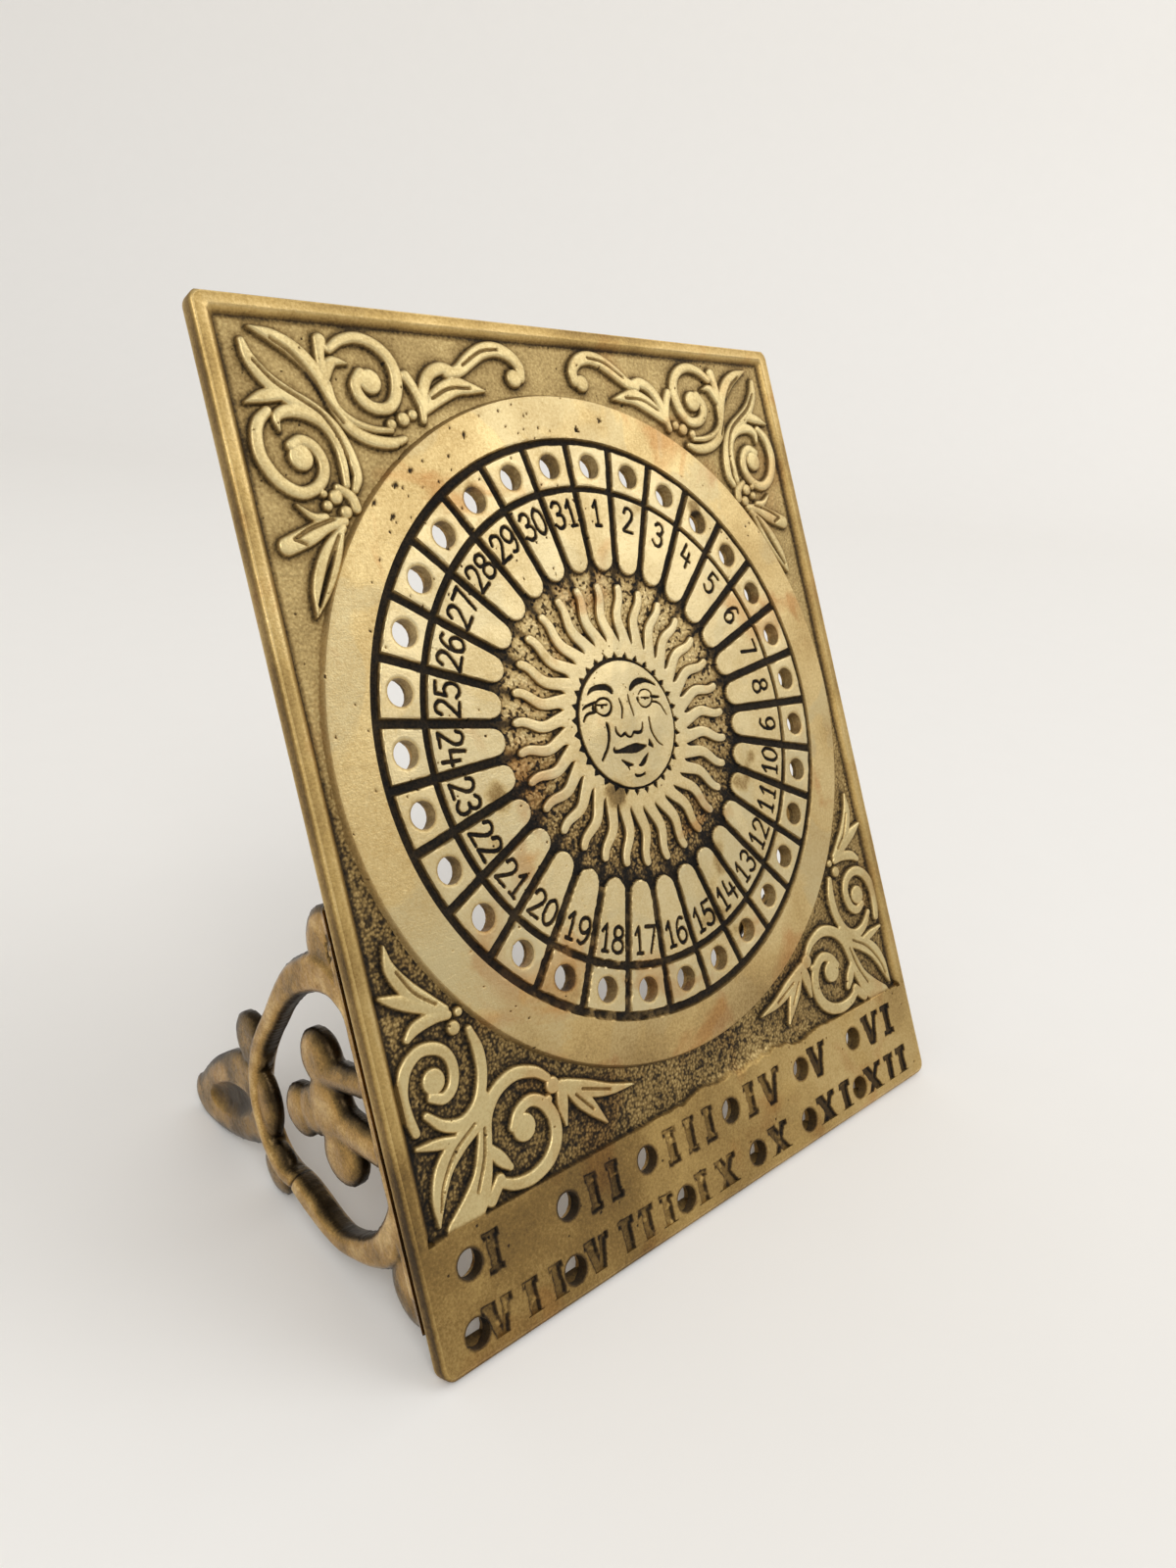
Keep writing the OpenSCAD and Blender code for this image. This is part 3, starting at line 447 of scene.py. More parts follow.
def handled(x, y):
    """How dark the plain border is: random drifts, and a painted reflection that makes it browner towards the
    bottom left corner
    """
    drift = smooth(-0.3, 0.6, cloud(x, y, 11.0, 51))
    # Random drifts, then a painted reflection: browner towards the bottom left corner
    return 0.17 + 0.15 * drift + 0.22 * smooth(-25, -72, y) * smooth(30, -40, x)


def polished(x, y):
    """How dark the rubbed faces have gone, with a few brown stains"""
    stains = 0.3 * smooth(0.42, 0.7, cloud(x, y, 7.0, 78))
    for cx, cy, r, much in STAINS:
        away = np.hypot(x - cx, y - cy) / r + 0.35 * cloud(x, y, 1.6, 79)
        stains = np.maximum(stains, much * smooth(1.3, 0.5, away))
    return 0.08 + 0.13 * cloud(x, y, 9.0, 77) + 0.06 * cloud(x, y, 1.6, 76) + stains


def band_edge(x):
    """The month band's upper edge, ragged where the casting ran thin in the middle"""
    ragged = smooth(-14, -2, x) * smooth(38, 26, x)
    waves = ragged * (0.7 * grain(x, x * 0, 9.0, 41) + 0.5 * grain(x, x * 0, 1.7, 42))
    return BAND_TOP - 0.15 + waves + 0.08 * grain(x, x * 0, 2.5, 43)


def thinned(x):
    """1 in the middle of the band's edge, where the casting ran thin, and 0 away from it"""
    return np.exp(-((x - 9) / 8) ** 2)


def band_rise(x, y):
    """0 on the ground, 1 on the month band; a long slope where the casting ran thin"""
    return smooth(0.3 + 1.6 * thinned(x), -0.2, y - band_edge(x))


def letter(x, y, kind, left, right, low, high):
    """How deep points lie inside one slab-serifed Roman letter"""
    mid, serif, thick, thin = (left + right) / 2, 0.5, 0.9, 0.62

    def bar(x0, y0, x1, y1, half):
        t = np.clip((y - y0) / (y1 - y0), 0, 1)
        tilt = hypot(x1 - x0, y1 - y0) / abs(y1 - y0)
        across = half - np.abs(x - x0 - t * (x1 - x0)) / tilt
        return np.minimum(across, np.minimum(y - min(y0, y1), max(y0, y1) - y))

    def slab(x0, x1, y0):
        return np.minimum((x1 - x0) / 2 - np.abs(x - (x0 + x1) / 2), serif - np.abs(y - y0))

    if kind == "I":
        parts = [bar(mid, low, mid, high, thick), slab(left, right, low + serif),
                 slab(left, right, high - serif)]
    elif kind == "V":
        foot = mid - 0.1
        parts = [bar(left + 1.0, high, foot, low, thick), bar(right - 1.0, high, foot + 0.2, low, thin),
                 slab(left, left + 2.2, high - serif), slab(right - 1.9, right, high - serif)]
    else:
        parts = [bar(left + 0.9, high, right - 0.9, low, thick),
                 bar(right - 0.9, high, left + 0.9, low, thin)]
        parts += [slab(a, a + 2.0, b) for a in (left, right - 2.0) for b in (low + serif, high - serif)]
    return np.maximum.reduce(parts)


def front_heights(x, y):
    """Height and darkness of the plate's front outside the dial"""
    z, dark = corner_heights(x, y)
    edge = band_edge(x)
    thin = thinned(x)
    rise = band_rise(x, y)
    top = surface_wear(x, y)
    # The band's tone: the border's random drifts and painted reflection, then the letters
    surface_tone = handled(x, y)
    inside = np.full(x.shape, -99.0)
    for row, (low, high) in ((ROMAN_UPPER, ROW_UPPER), (ROMAN_LOWER, ROW_LOWER)):
        for kind, left, right in row:
            inside = np.maximum(inside, letter(x, y, kind, left, right, low, high))
    inside = inside + 0.12 * cloud(x, y, 0.7, 52, 2) + 0.16 * cloud(x, y, 2.2, 53, 2)
    cut = smooth(-0.04, 0.2, inside)
    # Crumbs stand in the letters; those to the right are cleaner and deeper
    crumbs = smooth(0.1, 0.6, cloud(x, y, 0.9, 54, 2)) * smooth(35, 5, x)
    deep = smooth(0, 30, x)
    top = top - cut * (0.5 - 0.3 * crumbs)
    outline = np.exp(-((inside - 0.12) / 0.2) ** 2)
    surface_tone = surface_tone + cut * (0.14 + 0.42 * deep - 0.14 * crumbs) + 0.46 * outline * (1 - 0.4 * crumbs)
    z = z * (1 - rise) + top * rise
    dark = dark * (1 - rise) + surface_tone * rise
    dark = dark + (0.25 - 0.3 * thin) * np.exp(-((y - edge - 0.15) / 0.25) ** 2)
    dark = dark - 0.2 * thin * smooth(5.0, 0.0, y - edge) * (1 - rise)
    # Painted shade along the foot of the rim on the three free sides
    side = np.minimum(HALF_W - np.abs(x), TOP - y)
    dark = dark + 0.38 * (1 - smooth(2.9, 3.9, side)) * (1 - rise)
    speck = pits(x, y, 2.6, 61, 0.16, 0.2)
    return z - 0.12 * speck, dark + 0.5 * speck


def beside_ray(r, a, s):
    """Distance from the nearest ray's side; s is the rays' settings"""
    bent = a - RAY_TURN
    bent = bent - np.round(bent / STEP) * STEP
    across, along = r * np.sin(bent), r * np.cos(bent)
    f = (along - s.root) / (s.tip - s.root)
    aside = s.swing * np.cos(2 * pi * (s.tip - along - RAY_PHASE) / s.wave) + s.lean * f
    half = s.half * (1 - RAY_TAPER * f) * np.sqrt(np.clip((s.tip - along) / RAY_ROUND, 0, 1))
    return np.abs(across - aside) - half


def sun_floor(r, a):
    """Height and darkness of the punched ground round the sun"""
    x, y = r * np.sin(a), r * np.cos(a)
    lumps = pebbles(x, y, 0.55, 75)
    lower = smooth(6, -16, y)
    z = -0.8 + 0.16 * lumps + 0.1 * cloud(x, y, 2.0, 76) + 0.05 * cloud(x, y, 0.5, 74, 2)
    dark = ((0.24 + 0.42 * lower) - (0.1 + 0.3 * lower) * lumps + 0.32 * smooth(17.5, 14.5, r)
            + 0.16 * cloud(x, y, 3.0, 78))
    dark = dark + 0.55 * smooth(0.15, 0.55, cloud(x, y, 0.55, 79, 2))
    gap = np.abs(a / STEP - np.round(a / STEP)) * STEP * r
    return z, dark + 0.5 * np.exp(-(gap / 0.8) ** 2) * smooth(21.8, 24.0, r)


def dial_heights(r, a):
    """Height and darkness of the ring, its hole cells and its number cells; a is clockwise from the top"""
    x, y = r * np.sin(a), r * np.cos(a)
    turn = a / STEP
    cell = np.floor(turn)
    off = turn - np.round(turn)
    rough = smooth(0.35, 1.0, 1 - np.abs(((cell % DAYS) - 17) / 5.5))
    wobble = 0.05 * cloud(x, y, 1.3, 71, 2) + 0.16 * rough * cloud(x, y, 0.9, 72, 2)
    groove = 0.5 + wobble
    beside = np.abs(off) * STEP * r
    right = smooth(-0.3, 0.8, np.cos(a - radians(55)))
    inner = np.where(r < RING_R, np.abs(r - HOLE_CELL_R) + 0.08 + 0.14 * right, 99)
    line = np.minimum(np.abs(r - RING_R) + 0.2 * right, inner)
    line = np.where(r < RING_R, np.minimum(line, beside), line)
    inside = line - groove
    # Rounded inner ends of the number cells
    middle = (turn - cell - 0.5) * STEP
    end = 2.2 - np.hypot(r * np.sin(middle), r * np.cos(middle) - CELL_END_R) + wobble
    inside = np.where(r < CELL_END_R, end, inside)
    top = smooth(0.0, 0.32, inside)
    fill = rough * smooth(0.0, 0.7, cloud(x, y, 1.5, 73, 2) + 0.15)
    floor = -0.78 + 0.1 * cloud(x, y, 0.6, 74, 2) + 0.45 * fill
    ground, shade = sun_floor(r, a)
    low = np.where(r < CELL_END_R, ground, floor)
    z = top * surface_wear(x, y) + (1 - top) * low
    # Random clouds, and a painted reflection that darkens the ring towards its bottom
    ring = 0.13 + 0.16 * cloud(x, y, 13.0, 80) + 0.16 * smooth(-36, -52, y)
    face = np.where(r > RING_R, ring, polished(x, y))
    dark = top * face + (1 - top) * (0.95 - 0.35 * fill)
    shade = shade + 0.6 * np.exp(-np.clip(-inside, 0, 9) / 0.35)
    dark = np.where((r < CELL_END_R) & (top < 0.5), shade, dark)
    # The ring's outer edge rounds down to the ground
    fall = smooth(0.75, 0.0, RING_OUT_R - r)
    z = z - 1.05 * fall ** 2
    dark = dark + 0.3 * fall
    speck = pits(x, y, 2.3, 81, 0.35, 0.2) * smooth(0.0, 0.45, cloud(x, y, 16.0, 82) + 0.35 * (y - x) / 50)
    for cx, cy in CRACKS:
        luck = float(hashed(np.int64(cx * 10), np.int64(cy * 10), 83))
        tilt = radians(360 * luck)
        arms = [[(cx - s * cos(tilt + t), cy - s * sin(tilt + t), 0.02),
                 (cx + 0.6 * s * cos(tilt + t), cy + 0.6 * s * sin(tilt + t), w)]
                for t, s, w in ((0, 0.62, 0.16), (1.0 + luck, 0.42, 0.14), (2.4, 0.3, 0.12))]
        speck = np.maximum(speck, smooth(-0.1, 0.08, deepest(x, y, arms) + 0.1 * cloud(x, y, 0.4, 84, 2)))
    return z - 0.2 * speck, dark + 0.75 * speck


def day_figures(r, a, first, last):
    """How deep points lie inside the engraved day figures of some cells"""
    inside = np.full(r.shape, -9.0)
    for day in range(first, last + 1):
        centre = (day - 0.5) * STEP
        near = (np.abs(a - centre) < 0.62 * STEP) & (r > 31.5) & (r < 38.2)
        bent = a[near] - centre
        across, along = r[near] * np.sin(bent), r[near] * np.cos(bent) - FIGURE_R
        # From 10 to 24 the figures are turned to read upright at the dial's foot
        if 10 <= day <= 24:
            across, along = -across, -along
        text = str(day)
        wide, gap = (2.1, 0.0) if len(text) == 1 else (2.15, 0.55)
        total = wide * len(text) + gap * (len(text) - 1)
        strokes = []
        for i, figure in enumerate(text):
            left = -total / 2 + i * (wide + gap)
            for points in FIGURES[figure]:
                s = spline(points, 5)
                strokes.append(np.column_stack(
                    [left + s[:, 0] * wide, (s[:, 1] - 0.5) * FIGURE_HIGH, np.full(len(s), FIGURE_HALF)]))
        inside[near] = np.maximum(inside[near], deepest(across, along, strokes, 0.4))
    return inside


def sun_heights(x, y):
    """The sun's body: a polished disc with a cut line, a ring of saw teeth and the face"""
    r, a = np.hypot(x, y), np.arctan2(x, y)
    turn = (a - radians(1.5)) / STEP
    off = (turn - np.round(turn)) * STEP * r
    wide = smooth(-0.2, 0.9, np.cos(a - radians(290)))
    tooth = np.minimum((0.74 + 0.14 * wide) * (1 - (r - FACE_R - 0.15 * wide) / 1.2), r - FACE_R + 0.1)
    tooth = tooth - np.abs(off - 0.1 * (r - FACE_R - 0.1))
    ring = 0.2 + 0.16 * wide - np.abs(r - FACE_R - 0.12 * wide) + 0.06 * cloud(x, y, 3.0, 90)
    lines = deepest(x, y, [spline(s) for s in FACE_LINES])
    pocks = pits(x, y, 1.5, 94, 0.5, 0.14) * smooth(0.05, 0.4, cloud(x, y, 4.0, 95))
    cut_in = np.maximum(np.maximum(ring, tooth), lines) + 0.035 * cloud(x, y, 0.6, 91, 2)
    cut = np.maximum(smooth(-0.06, 0.08, cut_in), 0.7 * pocks)
    dome = 0.16 * np.clip(1 - (r / FACE_R) ** 2, 0, 1)

    def bump(cx, cy, wide, tall, high):
        return high * np.exp(-((x - cx) / wide) ** 2 - ((y - cy) / tall) ** 2)

    # Nose, cheeks, lips, chin, eyes and forehead
    face = sum(bump(*part) for part in (
        (0.0, 1.2, 1.3, 3.6, 0.22), (-5.0, -0.6, 2.4, 2.6, 0.16), (5.2, -0.8, 2.4, 2.6, 0.16),
        (0.0, -4.4, 3.4, 0.9, 0.14), (0.1, -8.2, 2.2, 1.3, 0.12), (-4.9, 3.7, 1.5, 1.1, 0.08),
        (4.8, 3.5, 1.5, 1.1, 0.08), (0.0, 8.4, 4.5, 2.0, 0.05)))
    z = dome + face * (r < FACE_R) + surface_wear(x, y) - 0.42 * cut
    dark = polished(x, y) + 0.9 * cut
    return z, dark


def to_shared(points, origin=None, axes=None):
    """Millimetres in a piece's own frame to metres in the shared frame"""
    axes = (RIGHT, UP, OUT) if axes is None else axes
    origin = DIAL if origin is None else origin
    spots = origin + MM * (points[:, :1] * axes[0] + points[:, 1:2] * axes[1] + points[:, 2:3] * axes[2])
    # The feet and the highest edge are ground off where the solid's are
    return np.clip(spots, np.array(cad_box[0]), np.array(cad_box[1]))


def darken(mesh, dark):
    """Stores how dark each of a mesh's points is, with the painted highlights, shade and reflection that some
    pieces carry
    """
    layer = mesh.attributes.new("patina_and_painted_light", "FLOAT", "POINT")
    layer.data.foreach_set("value", np.clip(dark, 0, 1).astype(np.float32))


def new_piece(name, points, quads, tris, dark, material, sharp=38):
    """A plain mesh object with its darkness stored at each point"""
    quads, tris = np.asarray(quads, np.int64).reshape(-1, 4), np.asarray(tris, np.int64).reshape(-1, 3)
    mesh = bpy.data.meshes.new(name)
    mesh.vertices.add(len(points))
    mesh.vertices.foreach_set("co", np.asarray(points, np.float32).ravel())
    corners = np.concatenate([quads.ravel(), tris.ravel()]).astype(np.int32)
    sizes = np.concatenate([np.full(len(quads), 4), np.full(len(tris), 3)])
    mesh.loops.add(len(corners))
    mesh.loops.foreach_set("vertex_index", corners)
    mesh.polygons.add(len(sizes))
    mesh.polygons.foreach_set("loop_start", (np.cumsum(sizes) - sizes).astype(np.int32))
    mesh.update(calc_edges=True)
    mesh.validate()
    if dark is not None:
        darken(mesh, dark)
    mesh.shade_smooth()
    mesh.set_sharp_from_angle(angle=radians(sharp))
    mesh.materials.append(material)
    obj = bpy.data.objects.new(name, mesh)
    bpy.context.scene.collection.objects.link(obj)
    return obj


def grid_faces(keep, wrap=False):
    """Quads of a grid whose four corners are kept, and triangles where three are"""
    n, m = keep.shape
    index = np.arange(n * m).reshape(n, m)
    if wrap:
        index, keep = np.hstack([index, index[:, :1]]), np.hstack([keep, keep[:, :1]])
    a, b, c, d = index[:-1, :-1], index[:-1, 1:], index[1:, 1:], index[1:, :-1]
    ka, kb, kc, kd = keep[:-1, :-1], keep[:-1, 1:], keep[1:, 1:], keep[1:, :-1]
    full = ka & kb & kc & kd
    quads = np.column_stack([q[full] for q in (a, b, c, d)])
    tris = []
    for missing, corners in ((~ka & kb & kc & kd, (b, c, d)), (ka & ~kb & kc & kd, (a, c, d)),
                             (ka & kb & ~kc & kd, (a, b, d)), (ka & kb & kc & ~kd, (a, b, c))):
        tris.append(np.column_stack([t[missing] for t in corners]))
    return quads, np.vstack(tris)


def rim_edges(quads, tris):
    """Directed edges that only one face uses"""
    edges = [quads[:, [i, (i + 1) % 4]] for i in range(4)] + [tris[:, [i, (i + 1) % 3]] for i in range(3)]
    edges = np.vstack(edges)
    size = int(edges.max()) + 1
    forward, back = edges[:, 0] * size + edges[:, 1], edges[:, 1] * size + edges[:, 0]
    return edges[~np.isin(forward, back)]


def tidy_corners(quads, tris):
    """Removes faces until no two outlines touch at a single point"""
    while True:
        edges = rim_edges(quads, tris)
        starts, counts = np.unique(edges[:, 0], return_counts=True)
        bad = starts[counts > 1]
        if not len(bad):
            return quads, tris, edges
        quads, tris = quads[~np.isin(quads, bad).any(1)], tris[~np.isin(tris, bad).any(1)]


def doubled_areas(p):
    """Twice the area of each triangle, with the sign of its sense"""
    return ((p[:, 1, 0] - p[:, 0, 0]) * (p[:, 2, 1] - p[:, 0, 1])
            - (p[:, 1, 1] - p[:, 0, 1]) * (p[:, 2, 0] - p[:, 0, 0]))


# Twice the area, in square mm, of the largest triangle that three rounded points of a straight line make
SLIVER = 8e-6


def flat_cap(points, edges):
    """Triangles that fill the region to the left of some directed edges, in the points' own numbers"""
    used, flat = np.unique(edges, return_inverse=True)
    flat = flat.reshape(-1, 2)
    spots, _, faces, source, _, _ = delaunay_2d_cdt(
        [Vector(p) for p in points[used, :2]], flat.tolist(), [], 1, 1e-7, True)
    tris = np.array([f for f in faces if len(f) == 3])
    spots = np.array([tuple(p) for p in spots])
    middle = spots[tris].mean(1)
    # A triangle is inside where the outline winds round its middle
    a, b = points[edges[:, 0], :2], points[edges[:, 1], :2]
    wind = np.zeros(len(middle))
    for start in range(0, len(middle), 2000):
        m = middle[start:start + 2000, None, :]
        up = (a[:, 1] <= m[..., 1]) & (b[:, 1] > m[..., 1])
        down = (a[:, 1] > m[..., 1]) & (b[:, 1] <= m[..., 1])
        left = (b[:, 0] - a[:, 0]) * (m[..., 1] - a[:, 1]) - (m[..., 0] - a[:, 0]) * (b[:, 1] - a[:, 1])
        wind[start:start + 2000] = (up & (left > 0)).sum(1) - (down & (left < 0)).sum(1)
    # Slivers along a straight outline have no area to speak of, and lie on either side of it
    tris = tris[(wind > 0) & (np.abs(doubled_areas(spots[tris])) > SLIVER)]
    number = used[np.array([ids[0] for ids in source])]
    return number[tris]


def closed_sheet(name, x, y, z, dark, keep, under, material, wrap=False, axes=None, origin=None, sharp=38):
    """A grid of heights made solid: side walls and a back at the heights under (a number makes it flat)"""
    quads, tris, edges = tidy_corners(*grid_faces(keep, wrap))
    flat = np.isscalar(under)
    top = np.column_stack([x.ravel(), y.ravel(), z.ravel()])
    used = np.zeros(len(top), bool)
    used[quads.ravel()] = True
    used[tris.ravel()] = True
    low_of = np.full(len(top), -1)
    lower = np.unique(edges) if flat else np.flatnonzero(used)
    number = np.cumsum(used) - 1
    count = int(used.sum())
    low_of[lower] = count + np.arange(len(lower))
    bottom = top[lower].copy()
    bottom[:, 2] = under if flat else under.ravel()[lower]
    first, last = edges.T
    walls = np.column_stack([number[last], number[first], low_of[first], low_of[last]])
    if flat:
        caps = flat_cap(top, edges)
        caps = np.where((doubled_areas(top[caps]) > 0)[:, None], caps[:, ::-1], caps)
        cap_quads, cap_tris = np.zeros((0, 4), int), low_of[caps]
    else:
        cap_quads, cap_tris = low_of[quads[:, ::-1]], low_of[tris[:, ::-1]]
    points = np.vstack([top[used], bottom])
    shade = dark.ravel()
    # Where the back is flat the walls darken 0.12 towards it: painted shade down the walls and inside the holes
    shade = np.concatenate([shade[used], shade[lower] + (0.12 if flat else 0.0)])
    all_quads = np.vstack([number[quads], walls, cap_quads])
    all_tris = np.vstack([number[tris], cap_tris])
    open_edges = rim_edges(all_quads, all_tris)
    if len(open_edges):
        print(name, "has", len(open_edges), "open edges")
    return new_piece(name, to_shared(points, origin, axes), all_quads, all_tris, shade, material, sharp)


def snap_holes(x, y, keep, holes, step):
    """Moves grid points near a hole's edge onto it and takes the points inside out of keep"""
    for cx, cy, r in holes:
        d = np.hypot(x - cx, y - cy)
        near = np.abs(d - r) < 0.5 * step
        x[near], y[near] = cx + (x[near] - cx) * r / d[near], cy + (y[near] - cy) * r / d[near]
        keep &= ~((d < r) & ~near)


def snap_circle(x, y, radius, step):
    """Moves grid points near a circle onto it; gives every point's old distance and which points moved"""
    r = np.hypot(x, y)
    near = np.abs(r - radius) < 0.5 * step
    x[near], y[near] = x[near] * radius / r[near], y[near] * radius / r[near]
    return r, near


def patch(x0, x1, y0, y1, step):
    """A square grid over a rectangle"""
    nx, ny = ceil((x1 - x0) / step) + 1, ceil((y1 - y0) / step) + 1
    return np.meshgrid(np.linspace(x0, x1, nx), np.linspace(y0, y1, ny))


def dial_patch(rows, a0, a1, columns, wrap=False):
    """A polar grid; a runs clockwise from the top"""
    a, r = np.meshgrid(np.linspace(a0, a1, columns, endpoint=not wrap), rows)
    return r, a, r * np.sin(a), r * np.cos(a)


def join(name, objects):
    """Several meshes as one"""
    with bpy.context.temp_override(active_object=objects[0], selected_editable_objects=objects,
                                   selected_objects=objects, object=objects[0]):
        bpy.ops.object.join()
    objects[0].name = name
    objects[0].data.name = name
    return objects[0]


def put(tree, kind, inputs=(), links=(), **settings):
    """Adds one node with its settings, input values and links"""
    node = tree.nodes.new(kind)
    for key, value in settings.items():
        setattr(node, key, value)
    for key, value in dict(inputs).items():
        node.inputs[key].default_value = value
    for key, source in dict(links).items():
        tree.links.new(source, node.inputs[key])
    return node


def calculated(tree, operation, a, b=None, c=None, clamp=False):
    """One Math node on numbers or sockets, and its output"""
    node = put(tree, "ShaderNodeMath", operation=operation, use_clamp=clamp)
    for i, value in enumerate((a, b, c)):
        if isinstance(value, (int, float)):
            node.inputs[i].default_value = value
        elif value is not None:
            tree.links.new(value, node.inputs[i])
    return node.outputs[0]


def combined(tree, **parts):
    """A vector from its X, Y and Z"""
    return put(tree, "ShaderNodeCombineXYZ", {}, parts).outputs[0]


def shaped(tree, kind, given=(), **settings):
    """Adds a geometry node whose inputs are given as values or as sockets, and gives its first output"""
    links = {key: item for key, item in dict(given).items() if isinstance(item, bpy.types.NodeSocket)}
    values = {key: item for key, item in dict(given).items() if key not in links}
    return put(tree, "GeometryNode" + kind, values, links, **settings).outputs[0]


def empty_material(name):
    """A new material and its emptied node tree"""
    material = bpy.data.materials.new(name)
    material.use_nodes = True
    material.node_tree.nodes.clear()
    return material, material.node_tree


def cast_brass(name, colours, roughness, metal=(1.0, 0.55), stain="#9a6a3c", stain_share=0.25, bump=0.35,
               brushed=0.0, clouds=0.0):
    """Sand-cast yellow brass, rubbed bright on the high places over a brown-black patina. The attribute read here
    says how much patina is left at each point, and also carries the painted highlights, shade and reflection of
    some pieces; clouds of it drift over the rest, and the skin has a fine sand grain."""
    material, tree = empty_material(name)
    add, calc = partial(put, tree), partial(calculated, tree)
    place = add("ShaderNodeTexCoord").outputs["Object"]

    def noise(scale, detail, roughness=0.5, distortion=0.0, vector=place):
        """Noise from 0 to 1; its scale is in bumps to the metre"""
        values = {"Scale": scale, "Detail": detail, "Roughness": roughness, "Distortion": distortion}
        return add("ShaderNodeTexNoise", values, {"Vector": vector}).outputs["Fac"]

    def ranged(value, low, high, to_low, to_high):
        """A value brought from one range to another"""
        values = {"From Min": low, "From Max": high, "To Min": to_low, "To Max": to_high}
        return add("ShaderNodeMapRange", values, {"Value": value}).outputs["Result"]

    def mixed(blend, share, under, over):
        """A colour laid over another"""
        return add("ShaderNodeMix", {7: linear(over)}, {0: share, 6: under}, data_type="RGBA",
                   blend_type=blend).outputs[2]

    # The stored darkness holds the metal's own darkening and, on some pieces, painted highlights, shade and
    # reflection
    # Drifts of patina about 9 mm across, and grit of about 0.5 mm
    patina_and_painted_light = add("ShaderNodeAttribute", attribute_name="patina_and_painted_light").outputs["Fac"]
    drift = calc("MULTIPLY_ADD", noise(110.0, 5.0, 0.6), 0.3, -0.12)
    grit = calc("MULTIPLY_ADD", noise(2300.0, 3.0, 0.7), 0.46, drift)
    shift = calc("SUBTRACT", calc("ADD", grit, patina_and_painted_light), 0.27, clamp=True)
    ramp = add("ShaderNodeValToRGB", {}, {"Fac": shift})
    stops = ramp.color_ramp.elements
    for i, (at, code) in enumerate(colours):
        stop = stops[i] if i < 2 else stops.new(at)
        stop.position = at
        stop.color = linear(code)
    # Reddish stains where the metal has been handled wet, about 15 mm across
    blot = ranged(noise(62.0, 4.0, 0.55, 0.6), 0.57, 0.66, 0.0, stain_share)
    stained = mixed("MULTIPLY", blot, ramp.outputs["Color"], stain)
    # Paler grey clouds about 20 mm across with fairly sharp borders, on bare metal only
    cloudy = ranged(noise(48.0, 6.0, 0.45, 1.2), 0.5, 0.54, 0.0, clouds)
    bare = calc("MULTIPLY_ADD", shift, -2.4, 1.0, clamp=True)
    colour = mixed("MIX", calc("MULTIPLY", cloudy, bare), stained, "#aea687")
    fine = height = noise(3600.0, 2.0)
    if brushed:
        # Rubbing marks along the plate, about 0.25 mm apart
        turned = {"Scale": (250.0, 3600.0, 3600.0), "Rotation": (0.4, 0.3, 0.7)}
        stretch = add("ShaderNodeMapping", turned, {"Vector": place})
        height = calc("MULTIPLY_ADD", noise(1.0, 2.0, vector=stretch.outputs[0]), brushed, fine)
    relief = add("ShaderNodeBump", {"Strength": bump, "Distance": 0.00012}, {"Height": height})
    shader = add("ShaderNodeBsdfPrincipled", {}, {
        "Base Color": colour, "Roughness": ranged(shift, 0.0, 1.0, *roughness),
        "Metallic": ranged(shift, 0.0, 1.0, *metal), "Normal": relief.outputs["Normal"]})
    add("ShaderNodeOutputMaterial", {}, {"Surface": shader.outputs["BSDF"]})
    return material


# Finishes: name; colours of bare metal, of the cuts, and of three depths of patina between; roughness of
# bare metal and of patina; then what else differs
PATINA_DEPTHS = (0.0, 1.0, 0.22, 0.45, 0.68)
FINISHES = {
    # Cells, rays, face and scrolls: rubbed bright on top, black in the cuts
    "rubbed": ("Sand-cast brass, rubbed bright", "#dcc898 #120d07 #c6ad78 #94794a #4b3b22", (0.38, 0.8),
               dict(stain="#d8a468", stain_share=0.55, brushed=0.35, clouds=0.22)),
    # The plain ring: duller, with sharply bounded golden and grey clouds
    "handled": ("Sand-cast brass, handled", "#dbc38c #171008 #bfa26a #8d7346 #4c3c22", (0.38, 0.8),
                dict(stain="#dca472", stain_share=0.5, brushed=0.5, clouds=0.34)),
    # The rim and the month band, browner still
    "border": ("Sand-cast brass, border", "#d6ba80 #171008 #b89a5e #896d3c #503d20", (0.36, 0.8),
               dict(stain="#d8a878", stain_share=0.4, brushed=0.5, clouds=0.1)),
    # The punched ground with its scrolls
    "ground": ("Sand-cast brass, punched ground", "#d4c08c #120d07 #b89f6a #8b7244 #46371f", (0.4, 0.82),
               dict(stain="#d8a468", stain_share=0.3, brushed=0.2)),
    # The back, the wings and the lugs: as cast, toned brown
    "toned": ("Sand-cast brass, toned brown", "#e6c68a #140e07 #b48f54 #786039 #403320", (0.16, 0.44),
              dict(metal=(1.0, 0.94), stain="#b48c5c", stain_share=0.25, bump=0.4)),
    # Drawn wire, its ends spread by the riveting
    "wire": ("Drawn brass wire, riveted", "#d9b878 #2a1e10 #b8944f #8a6c3a #58431f", (0.34, 0.7),
             dict(bump=0.2)),
}
MATERIALS = {}


def brass(kind):
    """The brass finishes, made once each"""
    if not MATERIALS:
        for key, (name, colours, roughness, more) in FINISHES.items():
            MATERIALS[key] = cast_brass(name, tuple(zip(PATINA_DEPTHS, colours.split())), roughness, **more)
    return MATERIALS[kind]


def settle(obj, body, node):
    """Hangs a finished piece on the body it rides on and hides the CAD node it stands for"""
    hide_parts(node)
    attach(obj, body)


def on_plate(obj):
    """Settles a piece of the plate's casting"""
    settle(obj, "plate", "calendar_plate")


